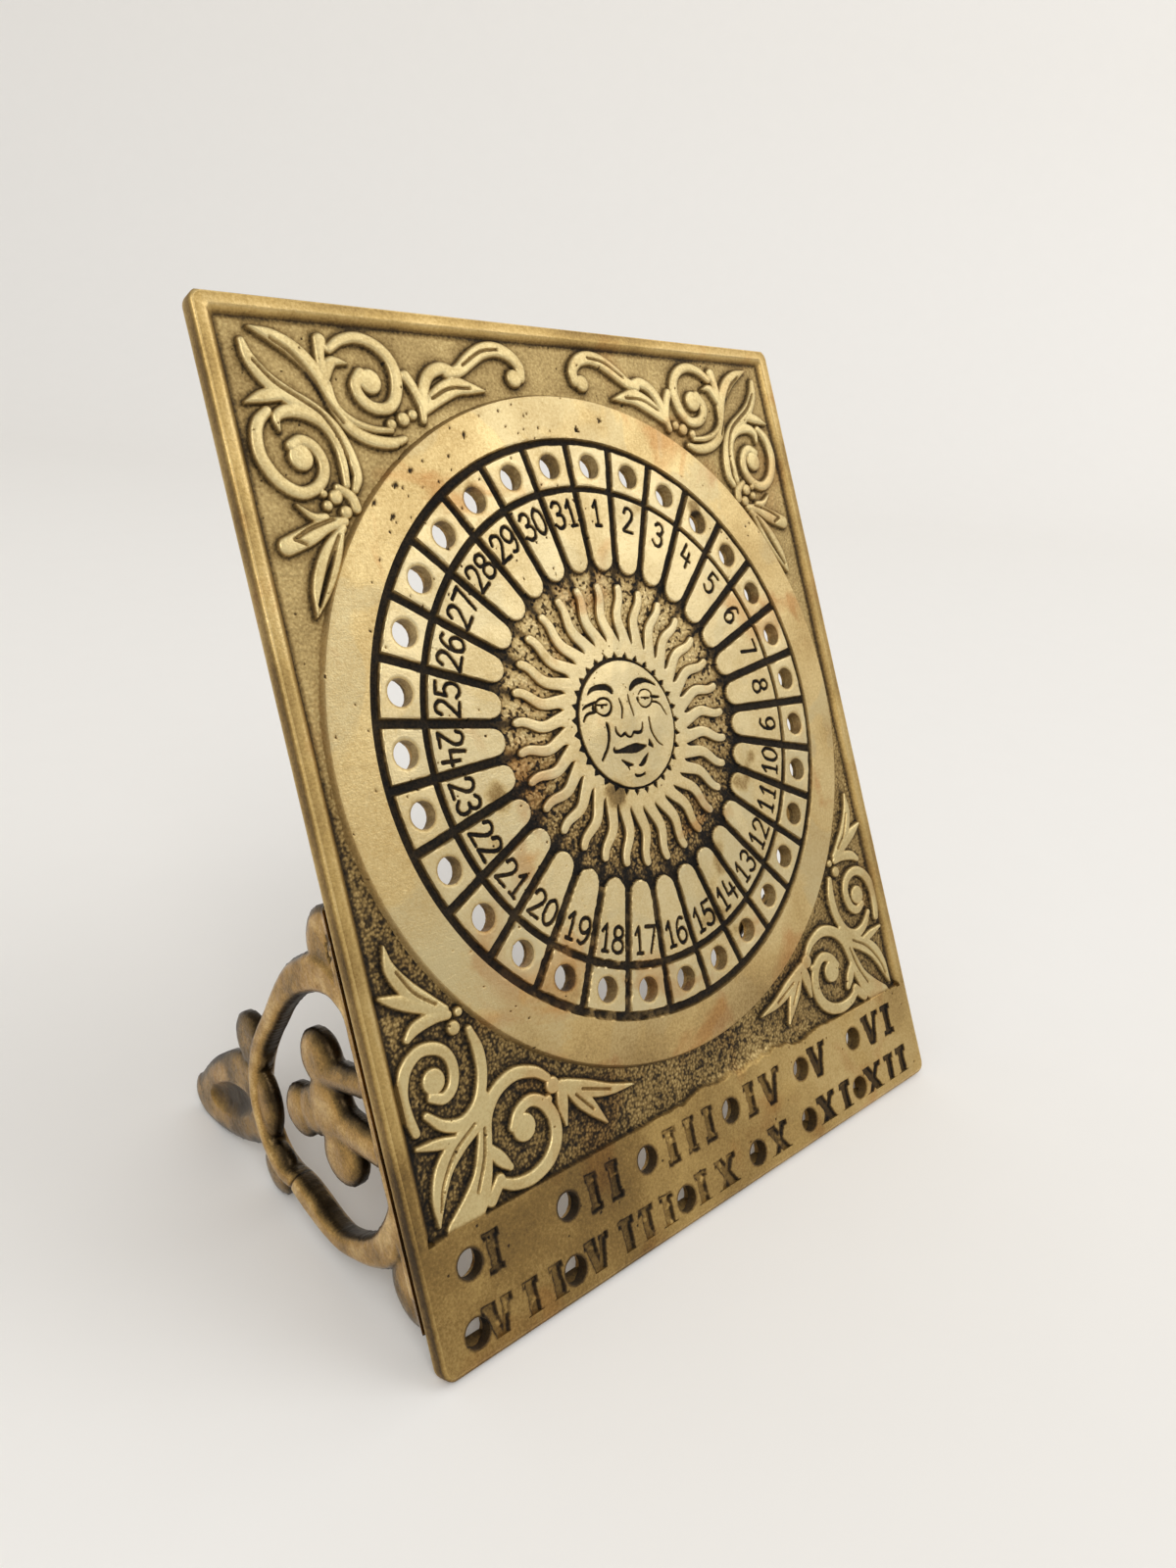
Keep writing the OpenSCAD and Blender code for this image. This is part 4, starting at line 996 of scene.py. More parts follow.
class SUNDIAL_PG_plate(bpy.types.PropertyGroup):
    """Sizes of the plate's parts that a user would change"""
    front_step: FloatProperty(name="Front grid", description="Spacing of the front's mesh points in mm",
                              default=0.15, min=0.1, max=1.0)
    back_step: FloatProperty(name="Back grid", description="Spacing of the back's mesh points in mm",
                             default=0.65, min=0.3, max=2.0)
    hole_r: FloatProperty(name="Hole radius", description="Radius of a peg hole in mm", default=2.0)
    rim_w: FloatProperty(name="Rim width", description="Width of the raised rim in mm", default=3.1)
    rim_round: FloatProperty(name="Rim rounding", description="Rounding of the rim's front edge in mm",
                             default=0.5)
    back_round: FloatProperty(name="Back rounding", description="Rounding of the plate's back edge in mm",
                              default=0.8)


class SUNDIAL_PG_rays(bpy.types.PropertyGroup):
    """Sizes of the sun's rays"""
    count: IntProperty(name="Rays", description="Number of rays round the face", default=DAYS, min=3)
    root: FloatProperty(name="Root radius", description="Where a ray springs from the sun, in mm",
                        default=13.0)
    tip: FloatProperty(name="Tip radius", description="Reach of a ray's tip, in mm", default=23.35)
    half: FloatProperty(name="Half width", description="Half of a ray's width at its root, in mm",
                        default=1.12)
    swing: FloatProperty(name="Swing", description="How far a ray waves to each side, in mm", default=0.48)
    wave: FloatProperty(name="Wave length", description="Length of one wave along a ray, in mm", default=8.2)
    lean: FloatProperty(name="Lean", description="How far a ray's tip stands aside from its root, in mm",
                        default=-0.65)


class SUNDIAL_PG_wing(bpy.types.PropertyGroup):
    """Sizes of a wing"""
    step: FloatProperty(name="Wing grid", description="Spacing of a wing's mesh points in mm", default=0.26)
    edge: FloatProperty(name="Edge", description="Half of the flat edge left between the roundings, in mm",
                        default=0.35)


class SUNDIAL_PG_stage(bpy.types.PropertyGroup):
    """The stage's colours and light"""
    floor: FloatVectorProperty(name="Floor", description="Colour of the floor", subtype="COLOR", size=4,
                               default=linear("#f3f0eb"), min=0, max=1)
    sky: FloatProperty(name="Sky", description="Strength of the light from all round", default=0.62, min=0)
    key: FloatProperty(name="Key lamp", description="Power of the large soft lamp", default=1.6,
                       unit="POWER")


def plate_holes(r):
    """Middles of the day holes, then of the month holes, with a radius"""
    turns = [(i + 0.5) * STEP for i in range(DAYS)]
    days = [(HOLE_RING_R * sin(turn), HOLE_RING_R * cos(turn), r) for turn in turns]
    return days + [(x, y, r) for x, y in MONTH_HOLES]


def border(inset):
    """Points round the plate at a distance in from its edge, clockwise from the top right corner"""
    r = max(CORNER - inset, 0.7)
    cx, top, low = HALF_W - inset - r, TOP - inset - r, BOTTOM + inset + r
    points = []
    corners = ((cx, top), (cx, low), (-cx, low), (-cx, top))
    for k, (mx, my) in enumerate(corners):
        turns = np.linspace(k * pi / 2, (k + 1) * pi / 2, CORNER_POINTS)
        points += [(mx + r * sin(a), my + r * cos(a)) for a in turns]
        nx, ny = corners[(k + 1) % 4]
        ox, oy = r * sin((k + 1) * pi / 2), r * cos((k + 1) * pi / 2)
        steps = SIDE_POINTS[k % 2]
        points += [(mx + ox + (nx - mx) * i / steps, my + oy + (ny - my) * i / steps)
                   for i in range(1, steps)]
    return np.array(points)


class SUNDIAL_OT_rim(bpy.types.Operator):
    """The raised rim with its rounded edges, all round the plate"""
    bl_idname = "sundial.rim"
    bl_label = "Rim"

    def execute(self, context):
        s = context.scene.sundial_plate
        # The section: distance in from the edge, height, darkness; the darkness paints highlights (values below 0)
        # and painted shade at the inner foot
        rr, br, w = s.rim_round, s.back_round, s.rim_w
        # Painted shade at the rim's inner foot, fading up the slope to a painted highlight along the ridge
        section = [(w + 0.02, -1.3, 0.6), (w, -1.0, 0.6), (w - 0.2, -0.86, 0.42), (w - 0.52, -0.5, 0.16),
                   (w - 0.84, -0.18, 0.02), (w - 1.08, -0.05, -0.05), (w - 1.3, 0.0, -0.08)]
        section += [(w - 1.6, 0.0, 0.0), (w - 2.1, 0.0, 0.05), (rr + 0.1, 0.0, 0.1)]
        # A painted highlight on the rounded front edge, darkening down the side
        section += [(rr * (1 - sin(a)), -rr * (1 - cos(a)), 0.25 * a - 0.12)
                    for a in np.linspace(0, pi / 2, 7)]
        section += [(0.0, -1.0, 0.26), (0.0, -1.7, 0.14), (0.0, -2.1, -0.02)]
        # A painted highlight on the rounded back edge
        section += [(br * (1 - cos(a)), -THICK + br * (1 - sin(a)), 0.2 * a - 0.1)
                    for a in np.linspace(0, pi / 2, 6)]
        section += [(w + 0.02, -THICK, 0.4)]
        section = np.array(section)
        m = len(section)
        outer = border(0.0)
        n = len(outer)
        rows = [border(t) for t in section[:, 0]]
        flush = [border(BAND_EDGE + 0.003 * (6 - j)) for j in range(7)]
        # Beside and below the month band the rim's inner edge is buried in the band
        buried = outer[:, 1] < BAND_TOP - 0.4
        z = np.repeat(section[None, :, 1], n, 0)
        dark = np.repeat(section[None, :, 2], n, 0)
        x, y = np.zeros((n, m)), np.zeros((n, m))
        for j in range(m):
            spots = rows[j] if j > 6 else np.where(buried[:, None], flush[j], rows[j])
            x[:, j], y[:, j] = spots.T
        z[np.ix_(buried, np.arange(7))] = np.array([-1.3, -0.9, -0.5, -0.2, 0, 0, 0])
        dark[np.ix_(buried, np.arange(10))] = 0.0
        along = np.cumsum(np.hypot(*np.diff(outer, axis=0, prepend=outer[:1]).T))[:, None]
        top = smooth(-0.6, -0.05, z)
        z = z + top * surface_wear(x, y) + 0.03 * (1 - top) * cloud(along + 0 * x, z + 0 * x, 1.5, 101)
        dark = dark + handled(x, y)
        ring = np.arange(n * m).reshape(n, m)
        a, b = ring, np.roll(ring, -1, 0)
        quads = np.stack([a, b, np.roll(b, -1, 1), np.roll(a, -1, 1)], -1).reshape(-1, 4)
        points = np.column_stack([x.ravel(), y.ravel(), z.ravel()])
        on_plate(new_piece("rim", to_shared(points), quads, [], dark.ravel(), brass("border"), 45))
        return {"FINISHED"}


class SUNDIAL_OT_back(bpy.types.Operator):
    """The plate's body with its cast back and its 43 peg holes"""
    bl_idname = "sundial.back"
    bl_label = "Plate back"

    def execute(self, context):
        s = context.scene.sundial_plate
        inset = s.rim_w
        x, y = patch(-HALF_W + inset, HALF_W - inset, BOTTOM + inset, TOP - inset, s.back_step)
        keep = np.ones(x.shape, bool)
        # Seen from behind x runs the other way, and the holes widen towards the back
        holes = [(-cx, cy, r) for cx, cy, r in plate_holes(s.hole_r + 0.3)]
        snap_holes(x, y, keep, holes, x[0, 1] - x[0, 0])
        edge = np.minimum(HALF_W - inset - np.abs(x), np.minimum(TOP - inset - y, y - BOTTOM - inset))
        calm = smooth(0.0, 4.0, edge)
        z = THICK + calm * (-0.12 + 0.1 * cloud(x, y, 9.0, 111) + 0.03 * cloud(x, y, 1.4, 112)) - 0.005
        dark = 0.42 + 0.2 * cloud(x, y, 10.0, 113) + 0.3 * pits(x, y, 4.0, 114, 0.4, 0.5)
        on_plate(closed_sheet("plate_back", x, y, z, dark, keep, BACK_BURIED, brass("toned"),
                              axes=(-RIGHT, UP, -OUT)))
        return {"FINISHED"}


class SUNDIAL_OT_corners(bpy.types.Operator):
    """The four corners: raised scrolls, leaves and berries on a punched ground"""
    bl_idname = "sundial.corners"
    bl_label = "Corner scrolls"

    def execute(self, context):
        s = context.scene.sundial_plate
        # The corners reach a little way under the rim
        edge, top = HALF_W - s.rim_w + 0.25, TOP - s.rim_w + 0.25
        for name, x0, x1, y0, y1 in (("corner_top_left", -edge, 0, 0, top),
                                     ("corner_top_right", 0, edge, 0, top),
                                     ("corner_low_left", -edge, 0, BAND_SEAM, 0),
                                     ("corner_low_right", 0, edge, BAND_SEAM, 0)):
            x, y = patch(x0, x1, y0, y1, s.front_step)
            r, near = snap_circle(x, y, CORNERS_R, s.front_step)
            keep = (r > CORNERS_R) | near
            z, dark = front_heights(x, y)
            z = np.where(HALF_W - np.abs(x) < s.rim_w, np.minimum(z, -0.9), z) - 0.12 * band_rise(x, y)
            on_plate(closed_sheet(name, x, y, z, dark, keep, BURIED, brass("ground")))
        return {"FINISHED"}


class SUNDIAL_OT_band(bpy.types.Operator):
    """The month band with its twelve holes and Roman numerals"""
    bl_idname = "sundial.band"
    bl_label = "Month band"

    def execute(self, context):
        s = context.scene.sundial_plate
        edge = HALF_W - BAND_EDGE
        x, y = patch(-edge, edge, BOTTOM + BAND_EDGE, BAND_TOP + 1.4, s.front_step * 1.1)
        keep = np.ones(x.shape, bool)
        z, dark = front_heights(x, y)
        # Above its edge the band lies under the ground, and beside the rim under that
        z = z - 0.12 * (1 - band_rise(x, y))
        z = np.where((HALF_W - np.abs(x) < s.rim_w) & (y > BAND_TOP - 0.5), -1.2, z)
        for hx, hy, r in plate_holes(s.hole_r)[DAYS:]:
            lip = smooth(0.5, 0.0, np.hypot(x - hx, y - hy) - r)
            z, dark = z - 0.12 * lip, dark + 0.35 * lip
        snap_holes(x, y, keep, plate_holes(s.hole_r)[DAYS:], x[0, 1] - x[0, 0])
        on_plate(closed_sheet("month_band", x, y, z, dark, keep, BURIED, brass("border")))
        return {"FINISHED"}


class SUNDIAL_OT_dial(bpy.types.Operator):
    """The plain ring, the hole cells, the number cells with their figures, and the ground round the sun"""
    bl_idname = "sundial.dial"
    bl_label = "Dial"

    def execute(self, context):
        s = context.scene.sundial_plate
        full = 2 * pi
        r, a, x, y = dial_patch(np.linspace(RING_R, RING_OUT_R + 0.05, 40), 0, full, 1300, True)
        z, dark = dial_heights(r, a)
        # The small triangle that marks where the days begin
        tri = np.maximum(0, 1 - np.abs(x - 3.3) / (0.55 * np.clip(1 - (y - 48.1) / 1.1, 0.01, 1)))
        mark = (tri > 0) & (y > 48.1) & (y < 49.1)
        z, dark = z - 0.35 * mark, dark + 0.8 * mark
        on_plate(closed_sheet("dial_ring", x, y, z, dark, r > 0, BURIED, brass("handled"), wrap=True))
        r, a, x, y = dial_patch(np.linspace(HOLE_CELL_R, RING_R, 42), 0, full, 1395, True)
        keep = r > 0
        z, dark = dial_heights(r, a)
        middle = (a / STEP - np.floor(a / STEP) - 0.5) * STEP
        away = np.hypot(r * np.sin(middle), r * np.cos(middle) - HOLE_RING_R) - s.hole_r
        lip = smooth(0.45, 0.0, away)
        z, dark = z - 0.1 * lip, dark + 0.3 * lip
        snap_holes(x, y, keep, plate_holes(s.hole_r)[:DAYS], 0.2)
        on_plate(closed_sheet("hole_cells", x, y, z, dark, keep, BURIED, brass("rubbed"), wrap=True))
        for name, first, last in (("number_cells_1_10", 1, 10), ("number_cells_11_21", 11, 21),
                                  ("number_cells_22_31", 22, 31)):
            days = last - first + 1
            rows = np.concatenate([np.linspace(CELL_R, 31.6, 42), np.linspace(31.72, HOLE_CELL_R, 62)])
            r, a, x, y = dial_patch(rows, (first - 1) * STEP, last * STEP, 60 * days + 1)
            z, dark = dial_heights(r, a)
            figure = day_figures(r, a, first, last) + 0.06 * cloud(x, y, 0.6, 121, 2)
            cut = smooth(-0.05, 0.08, figure)
            z, dark = z - 0.38 * cut, dark + 0.9 * cut
            on_plate(closed_sheet(name, x, y, z, dark, r > 0, BURIED, brass("rubbed")))
        r, a, x, y = dial_patch(np.linspace(12.5, CELL_R, 84), 0, full, 1085, True)
        z, dark = sun_floor(r, a)
        dark = dark + 0.55 * np.exp(-np.clip(beside_ray(r, a, context.scene.sundial_rays), 0, 9) / 0.3)
        on_plate(closed_sheet("sun_ground", x, y, z, dark, r > 0, BURIED, brass("rubbed"), wrap=True))
        return {"FINISHED"}


class SUNDIAL_OT_sun(bpy.types.Operator):
    """The sun's face in its ring of saw teeth"""
    bl_idname = "sundial.sun"
    bl_label = "Sun face"

    def execute(self, context):
        step, reach = 0.1, SUN_R + 0.15
        x, y = patch(-reach, reach, -reach, reach, step)
        r, near = snap_circle(x, y, SUN_R, step)
        z, dark = sun_heights(x, y)
        on_plate(closed_sheet("sun_face", x, y, z, dark, (r < SUN_R) | near, BURIED, brass("rubbed")))
        return {"FINISHED"}


def realised(name, tree, values):
    """Runs a geometry tree on an empty mesh and keeps its result as a plain mesh"""
    holder = bpy.data.objects.new(name, bpy.data.meshes.new(name))
    bpy.context.scene.collection.objects.link(holder)
    modifier = holder.modifiers.new("Build", "NODES")
    modifier.node_group = tree
    for item in tree.interface.items_tree:
        if item.item_type == "SOCKET" and item.in_out == "INPUT" and item.name in values:
            modifier[item.identifier] = values[item.name]
    evaluated = holder.evaluated_get(bpy.context.evaluated_depsgraph_get())
    mesh = bpy.data.meshes.new_from_object(evaluated)
    holder.modifiers.remove(modifier)
    old = holder.data
    holder.data = mesh
    mesh.name = name
    bpy.data.meshes.remove(old)
    return holder


def mesh_points(mesh):
    """A mesh's points as rows of x, y and z"""
    points = np.zeros(len(mesh.vertices) * 3)
    mesh.vertices.foreach_get("co", points)
    return points.reshape(-1, 3)


def place_points(mesh, points, dark):
    """Puts a mesh's points where the plate is, and stores how dark each has gone"""
    mesh.vertices.foreach_set("co", to_shared(points).astype(np.float32).ravel())
    darken(mesh, dark)


def geometry_tree(name, sockets):
    """An empty geometry tree with named inputs: the tree, its inputs and the end of its chain"""
    tree = bpy.data.node_groups.new(name, "GeometryNodeTree")
    tree.interface.new_socket("Geometry", in_out="OUTPUT", socket_type="NodeSocketGeometry")
    for label, kind, default in sockets:
        socket = tree.interface.new_socket(label, in_out="INPUT", socket_type=kind)
        if default is not None:
            socket.default_value = default
    return tree, tree.nodes.new("NodeGroupInput").outputs, tree.nodes.new("NodeGroupOutput").inputs[0]


class SUNDIAL_OT_rays(bpy.types.Operator):
    """The waving rays round the sun, one bent bar turned round the dial by geometry nodes"""
    bl_idname = "sundial.rays"
    bl_label = "Sun rays"

    def execute(self, context):
        s = context.scene.sundial_rays
        number = "NodeSocketFloat"
        tree, value, result = geometry_tree("Sun rays", (
            ("Count", "NodeSocketInt", DAYS), ("Root", number, 12.8), ("Tip", number, 23.3),
            ("Half width", number, 1.1), ("Swing", number, 0.5), ("Wave", number, 8.2),
            ("Lean", number, -0.65), ("Material", "NodeSocketMaterial", None)))
        calc, xyz, geo = partial(calculated, tree), partial(combined, tree), partial(shaped, tree)
        line = geo("CurvePrimitiveLine", {"Start": xyz(Y=value["Root"]), "End": xyz(Y=value["Tip"])})
        line = geo("ResampleCurve", {"Count": 44, "Curve": line})
        f = geo("SplineParameter")
        length = calc("SUBTRACT", value["Tip"], value["Root"])
        back = calc("MULTIPLY", calc("SUBTRACT", 1.0, f), length)
        phase = calc("DIVIDE", calc("SUBTRACT", back, RAY_PHASE), value["Wave"])
        wave = calc("COSINE", calc("MULTIPLY", phase, 2 * pi))
        aside = calc("MULTIPLY_ADD", wave, value["Swing"], calc("MULTIPLY", f, value["Lean"]))
        bent = geo("SetPosition", {"Geometry": line, "Offset": xyz(X=aside)})
        taper = calc("MULTIPLY_ADD", f, -RAY_TAPER, 1.0)
        # Where they spring from the sun the rays are wide enough to touch
        spread = calc("MAXIMUM", calc("MULTIPLY_ADD", calc("MULTIPLY", f, length), -0.56, 1.0), 0.0)
        taper = calc("MULTIPLY_ADD", calc("POWER", spread, 2.0), 0.48, taper)
        # The tip is round
        fall = calc("MAXIMUM", calc("SUBTRACT", 1.0, calc("DIVIDE", back, RAY_ROUND)), 0.0)
        cap = calc("SQRT", calc("SUBTRACT", 1.0, calc("POWER", fall, 2.0)))
        cap = calc("MAXIMUM", cap, 0.06)
        radius = calc("MULTIPLY", calc("MULTIPLY", taper, cap), value["Half width"])
        ring = geo("CurvePrimitiveCircle", {"Resolution": 24, "Radius": 1.0}, mode="RADIUS")
        bar = geo("CurveToMesh", {"Fill Caps": True, "Curve": bent, "Profile Curve": ring, "Scale": radius})
        # The bar's upper half is pressed flat and its lower half goes under the ground
        parts = put(tree, "ShaderNodeSeparateXYZ", {}, {"Vector": geo("InputPosition")}).outputs
        press = calc("MULTIPLY", calc("TANH", calc("MULTIPLY", parts["Z"], 4.0)), 0.86)
        flat = xyz(X=parts["X"], Y=parts["Y"], Z=calc("SUBTRACT", press, 0.86))
        pressed = geo("SetPosition", {"Geometry": bar, "Position": flat})
        points = geo("MeshLine", {"Offset": (0, 0, 0), "Count": value["Count"]})
        angle = calc("DIVIDE", geo("InputIndex"), value["Count"])
        turn = xyz(Z=calc("MULTIPLY_ADD", angle, -2 * pi, -RAY_TURN))
        many = geo("InstanceOnPoints", {"Points": points, "Instance": pressed, "Rotation": turn})
        smoothed = geo("SetShadeSmooth", {"Geometry": geo("RealizeInstances", {"Geometry": many})})
        made = geo("SetMaterial", {"Geometry": smoothed, "Material": value["Material"]})
        tree.links.new(made, result)
        values = {"Count": s.count, "Root": s.root, "Tip": s.tip, "Half width": s.half, "Swing": s.swing,
                  "Wave": s.wave, "Lean": s.lean, "Material": brass("rubbed")}
        obj = realised("sun_rays", tree, values)
        points = mesh_points(obj.data)
        x, y, z = points.T
        dark = polished(x, y) + 0.75 * smooth(-0.15, -0.6, z)
        points[:, 2] += np.where(z > -0.4, surface_wear(x, y), 0)
        place_points(obj.data, points, dark)
        obj.data.update()
        on_plate(obj)
        return {"FINISHED"}


class SUNDIAL_OT_lugs(bpy.types.Operator):
    """The eight lugs behind the plate in which the pins sit"""
    bl_idname = "sundial.lugs"
    bl_label = "Hinge lugs"

    def execute(self, context):
        number = "NodeSocketFloat"
        tree, value, result = geometry_tree("Hinge lugs", (
            ("Radius", number, LUG_R), ("Length", number, 3.2), ("Gap", number, 5.7),
            ("Side", number, HINGE_X), ("Behind", number, HINGE_D), ("Low", number, HINGE_Y[0]),
            ("High", number, HINGE_Y[1]), ("Material", "NodeSocketMaterial", None)))
        calc, xyz, geo = partial(calculated, tree), partial(combined, tree), partial(shaped, tree)
        # A barrel across a web that stands on the plate's back
        barrel = geo("MeshCylinder", {"Vertices": 32, "Side Segments": 1, "Radius": value["Radius"],
                                      "Depth": value["Length"]})
        laid = geo("Transform", {"Rotation": (pi / 2, 0, 0), "Geometry": barrel})
        deep = calc("SUBTRACT", value["Behind"], THICK - 0.6)
        wide = calc("MULTIPLY", value["Radius"], 2.0)
        web = geo("MeshCube", {"Size": xyz(X=wide, Y=value["Length"], Z=deep)})
        lift = xyz(Z=calc("MULTIPLY", deep, 0.5))
        raised = geo("Transform", {"Geometry": web, "Translation": lift})
        lug = put(tree, "GeometryNodeMeshBoolean", operation="UNION")
        tree.links.new(laid, lug.inputs[1])
        tree.links.new(raised, lug.inputs[1])
        # The lug's number from 0 to 7 says on which side it is, at which hinge and at which of its ends
        index = geo("InputIndex")
        side = calc("SUBTRACT", calc("MULTIPLY", calc("MODULO", index, 2.0), 2.0), 1.0)
        upper = calc("MODULO", calc("FLOOR", calc("DIVIDE", index, 2.0)), 2.0)
        above = calc("SUBTRACT", calc("MULTIPLY", calc("FLOOR", calc("DIVIDE", index, 4.0)), 2.0), 1.0)
        y = calc("MULTIPLY_ADD", upper, calc("SUBTRACT", value["High"], value["Low"]), value["Low"])
        shift = calc("MULTIPLY", calc("ADD", value["Gap"], value["Length"]), 0.5)
        spot = xyz(X=calc("MULTIPLY", side, value["Side"]), Y=calc("MULTIPLY_ADD", above, shift, y),
                   Z=calc("MULTIPLY", value["Behind"], -1.0))
        points = geo("MeshLine", {"Count": 8, "Offset": (0, 0, 0)})
        placed = geo("SetPosition", {"Geometry": points, "Position": spot})
        many = geo("InstanceOnPoints", {"Points": placed, "Instance": lug.outputs[0]})
        real = geo("RealizeInstances", {"Geometry": many})
        made = geo("SetMaterial", {"Geometry": real, "Material": value["Material"]})
        tree.links.new(made, result)
        obj = realised("hinge_lugs", tree, {"Material": brass("toned")})
        points = mesh_points(obj.data)
        place_points(obj.data, points, np.full(len(points), HINGE_DARK))
        obj.data.shade_smooth()
        obj.data.set_sharp_from_angle(angle=radians(35))
        on_plate(obj)
        return {"FINISHED"}


# A wing seen from its side: distance behind the plate's front, height up the plate, half width
WING_RAILS = (
    ((4.4, 50.2, 1.3), (6.6, 53.6, 2.4), (10.5, 55.3, 2.95), (15.0, 55.1, 2.75), (19.0, 54.2, 2.45),
     (22.3, 52.7, 2.15), (25.6, 50.8, 1.85), (29.0, 48.4, 1.75), (32.4, 46.1, 1.7), (35.7, 43.4, 1.65),
     (38.6, 40.1, 1.55), (40.5, 36.3, 1.45), (41.1, 32.5, 1.4), (40.6, 29.0, 1.45), (39.2, 25.8, 1.55),
     (36.9, 23.6, 1.65), (34.2, 22.5, 1.5)),
    ((34.6, 22.9, 1.4), (32.2, 21.3, 1.95), (29.4, 19.2, 2.0), (26.3, 16.9, 1.8), (22.8, 15.3, 1.75),
     (18.4, 14.9, 1.95), (14.2, 15.2, 2.3), (10.2, 16.4, 2.7), (6.7, 19.0, 2.6), (4.6, 22.4, 1.6)),
)
WING_FOOT = ((43.0, 34.8, 7.4), (46.0, 34.8, 7.7), (49.0, 34.5, 7.5), (52.8, 34.2, 6.9), (57.0, 33.8, 5.7),
             (61.0, 33.6, 4.2), (62.3, 33.9, 3.7))
WING_BARS = (
    ((4.3, 11.6, 1.15), (4.3, 58.9, 1.15)),
    ((4.4, 39.6, 2.1), (15.0, 40.6, 2.2)),
    ((4.4, 30.2, 2.6), (15.6, 33.6, 3.1)),
)
WING_LOBES = ((5.2, 11.3, 5.4), (6.2, 58.2, 6.4), (38.8, 44.3, 4.8), (39.5, 23.8, 4.3))
WING_LEAF = ((17.3, 42.8, 4.5), (17.8, 35.5, 5.2), (16.6, 28.8, 4.7), (22.0, 34.9, 3.9), (26.3, 34.5, 4.2))
# The wing's flush edge behind the plate's front, how far back and up its grid reaches, how low it begins,
# and half the wing's thickness
WING_EDGE, WING_END, WING_LOW, WING_HALF = 3.22, 66.2, 5.4, 2.0


def blend_shapes(a, b, soft):
    """The union of two depths with a fillet where they meet"""
    h = np.clip(0.5 + 0.5 * (a - b) / soft, 0, 1)
    return b * (1 - h) + a * h + soft * h * (1 - h)


def wing_depths(d, u):
    """How deep points lie inside a wing's rails, its lobes and foot, and its leaf with the stems"""
    rail = np.full(d.shape, -99.0)
    for rows in WING_RAILS:
        rail = np.maximum(rail, sweep(d, u, spline(rows))[0])
    rail = blend_shapes(rail, sweep(d, u, np.array(WING_BARS[0]))[0], 0.8)
    lobe = sweep(d, u, spline(WING_FOOT))[0]
    for cd, cu, r in WING_LOBES:
        lobe = np.maximum(lobe, r - np.hypot(d - cd, u - cu))
    leaf = np.full(d.shape, -99.0)
    for cd, cu, r in WING_LEAF:
        leaf = blend_shapes(leaf, r - np.hypot(d - cd, u - cu), 0.7)
    for rows in WING_BARS[1:]:
        leaf = blend_shapes(leaf, sweep(d, u, np.array(rows))[0], 1.2)
    return [np.minimum(part, d - WING_EDGE) for part in (rail, lobe, leaf)]


def fix_normals(obj):
    """Turns a closed mesh's faces outwards"""
    mesh = bmesh.new()
    mesh.from_mesh(obj.data)
    bmesh.ops.recalc_face_normals(mesh, faces=mesh.faces)
    mesh.to_mesh(obj.data)
    mesh.free()


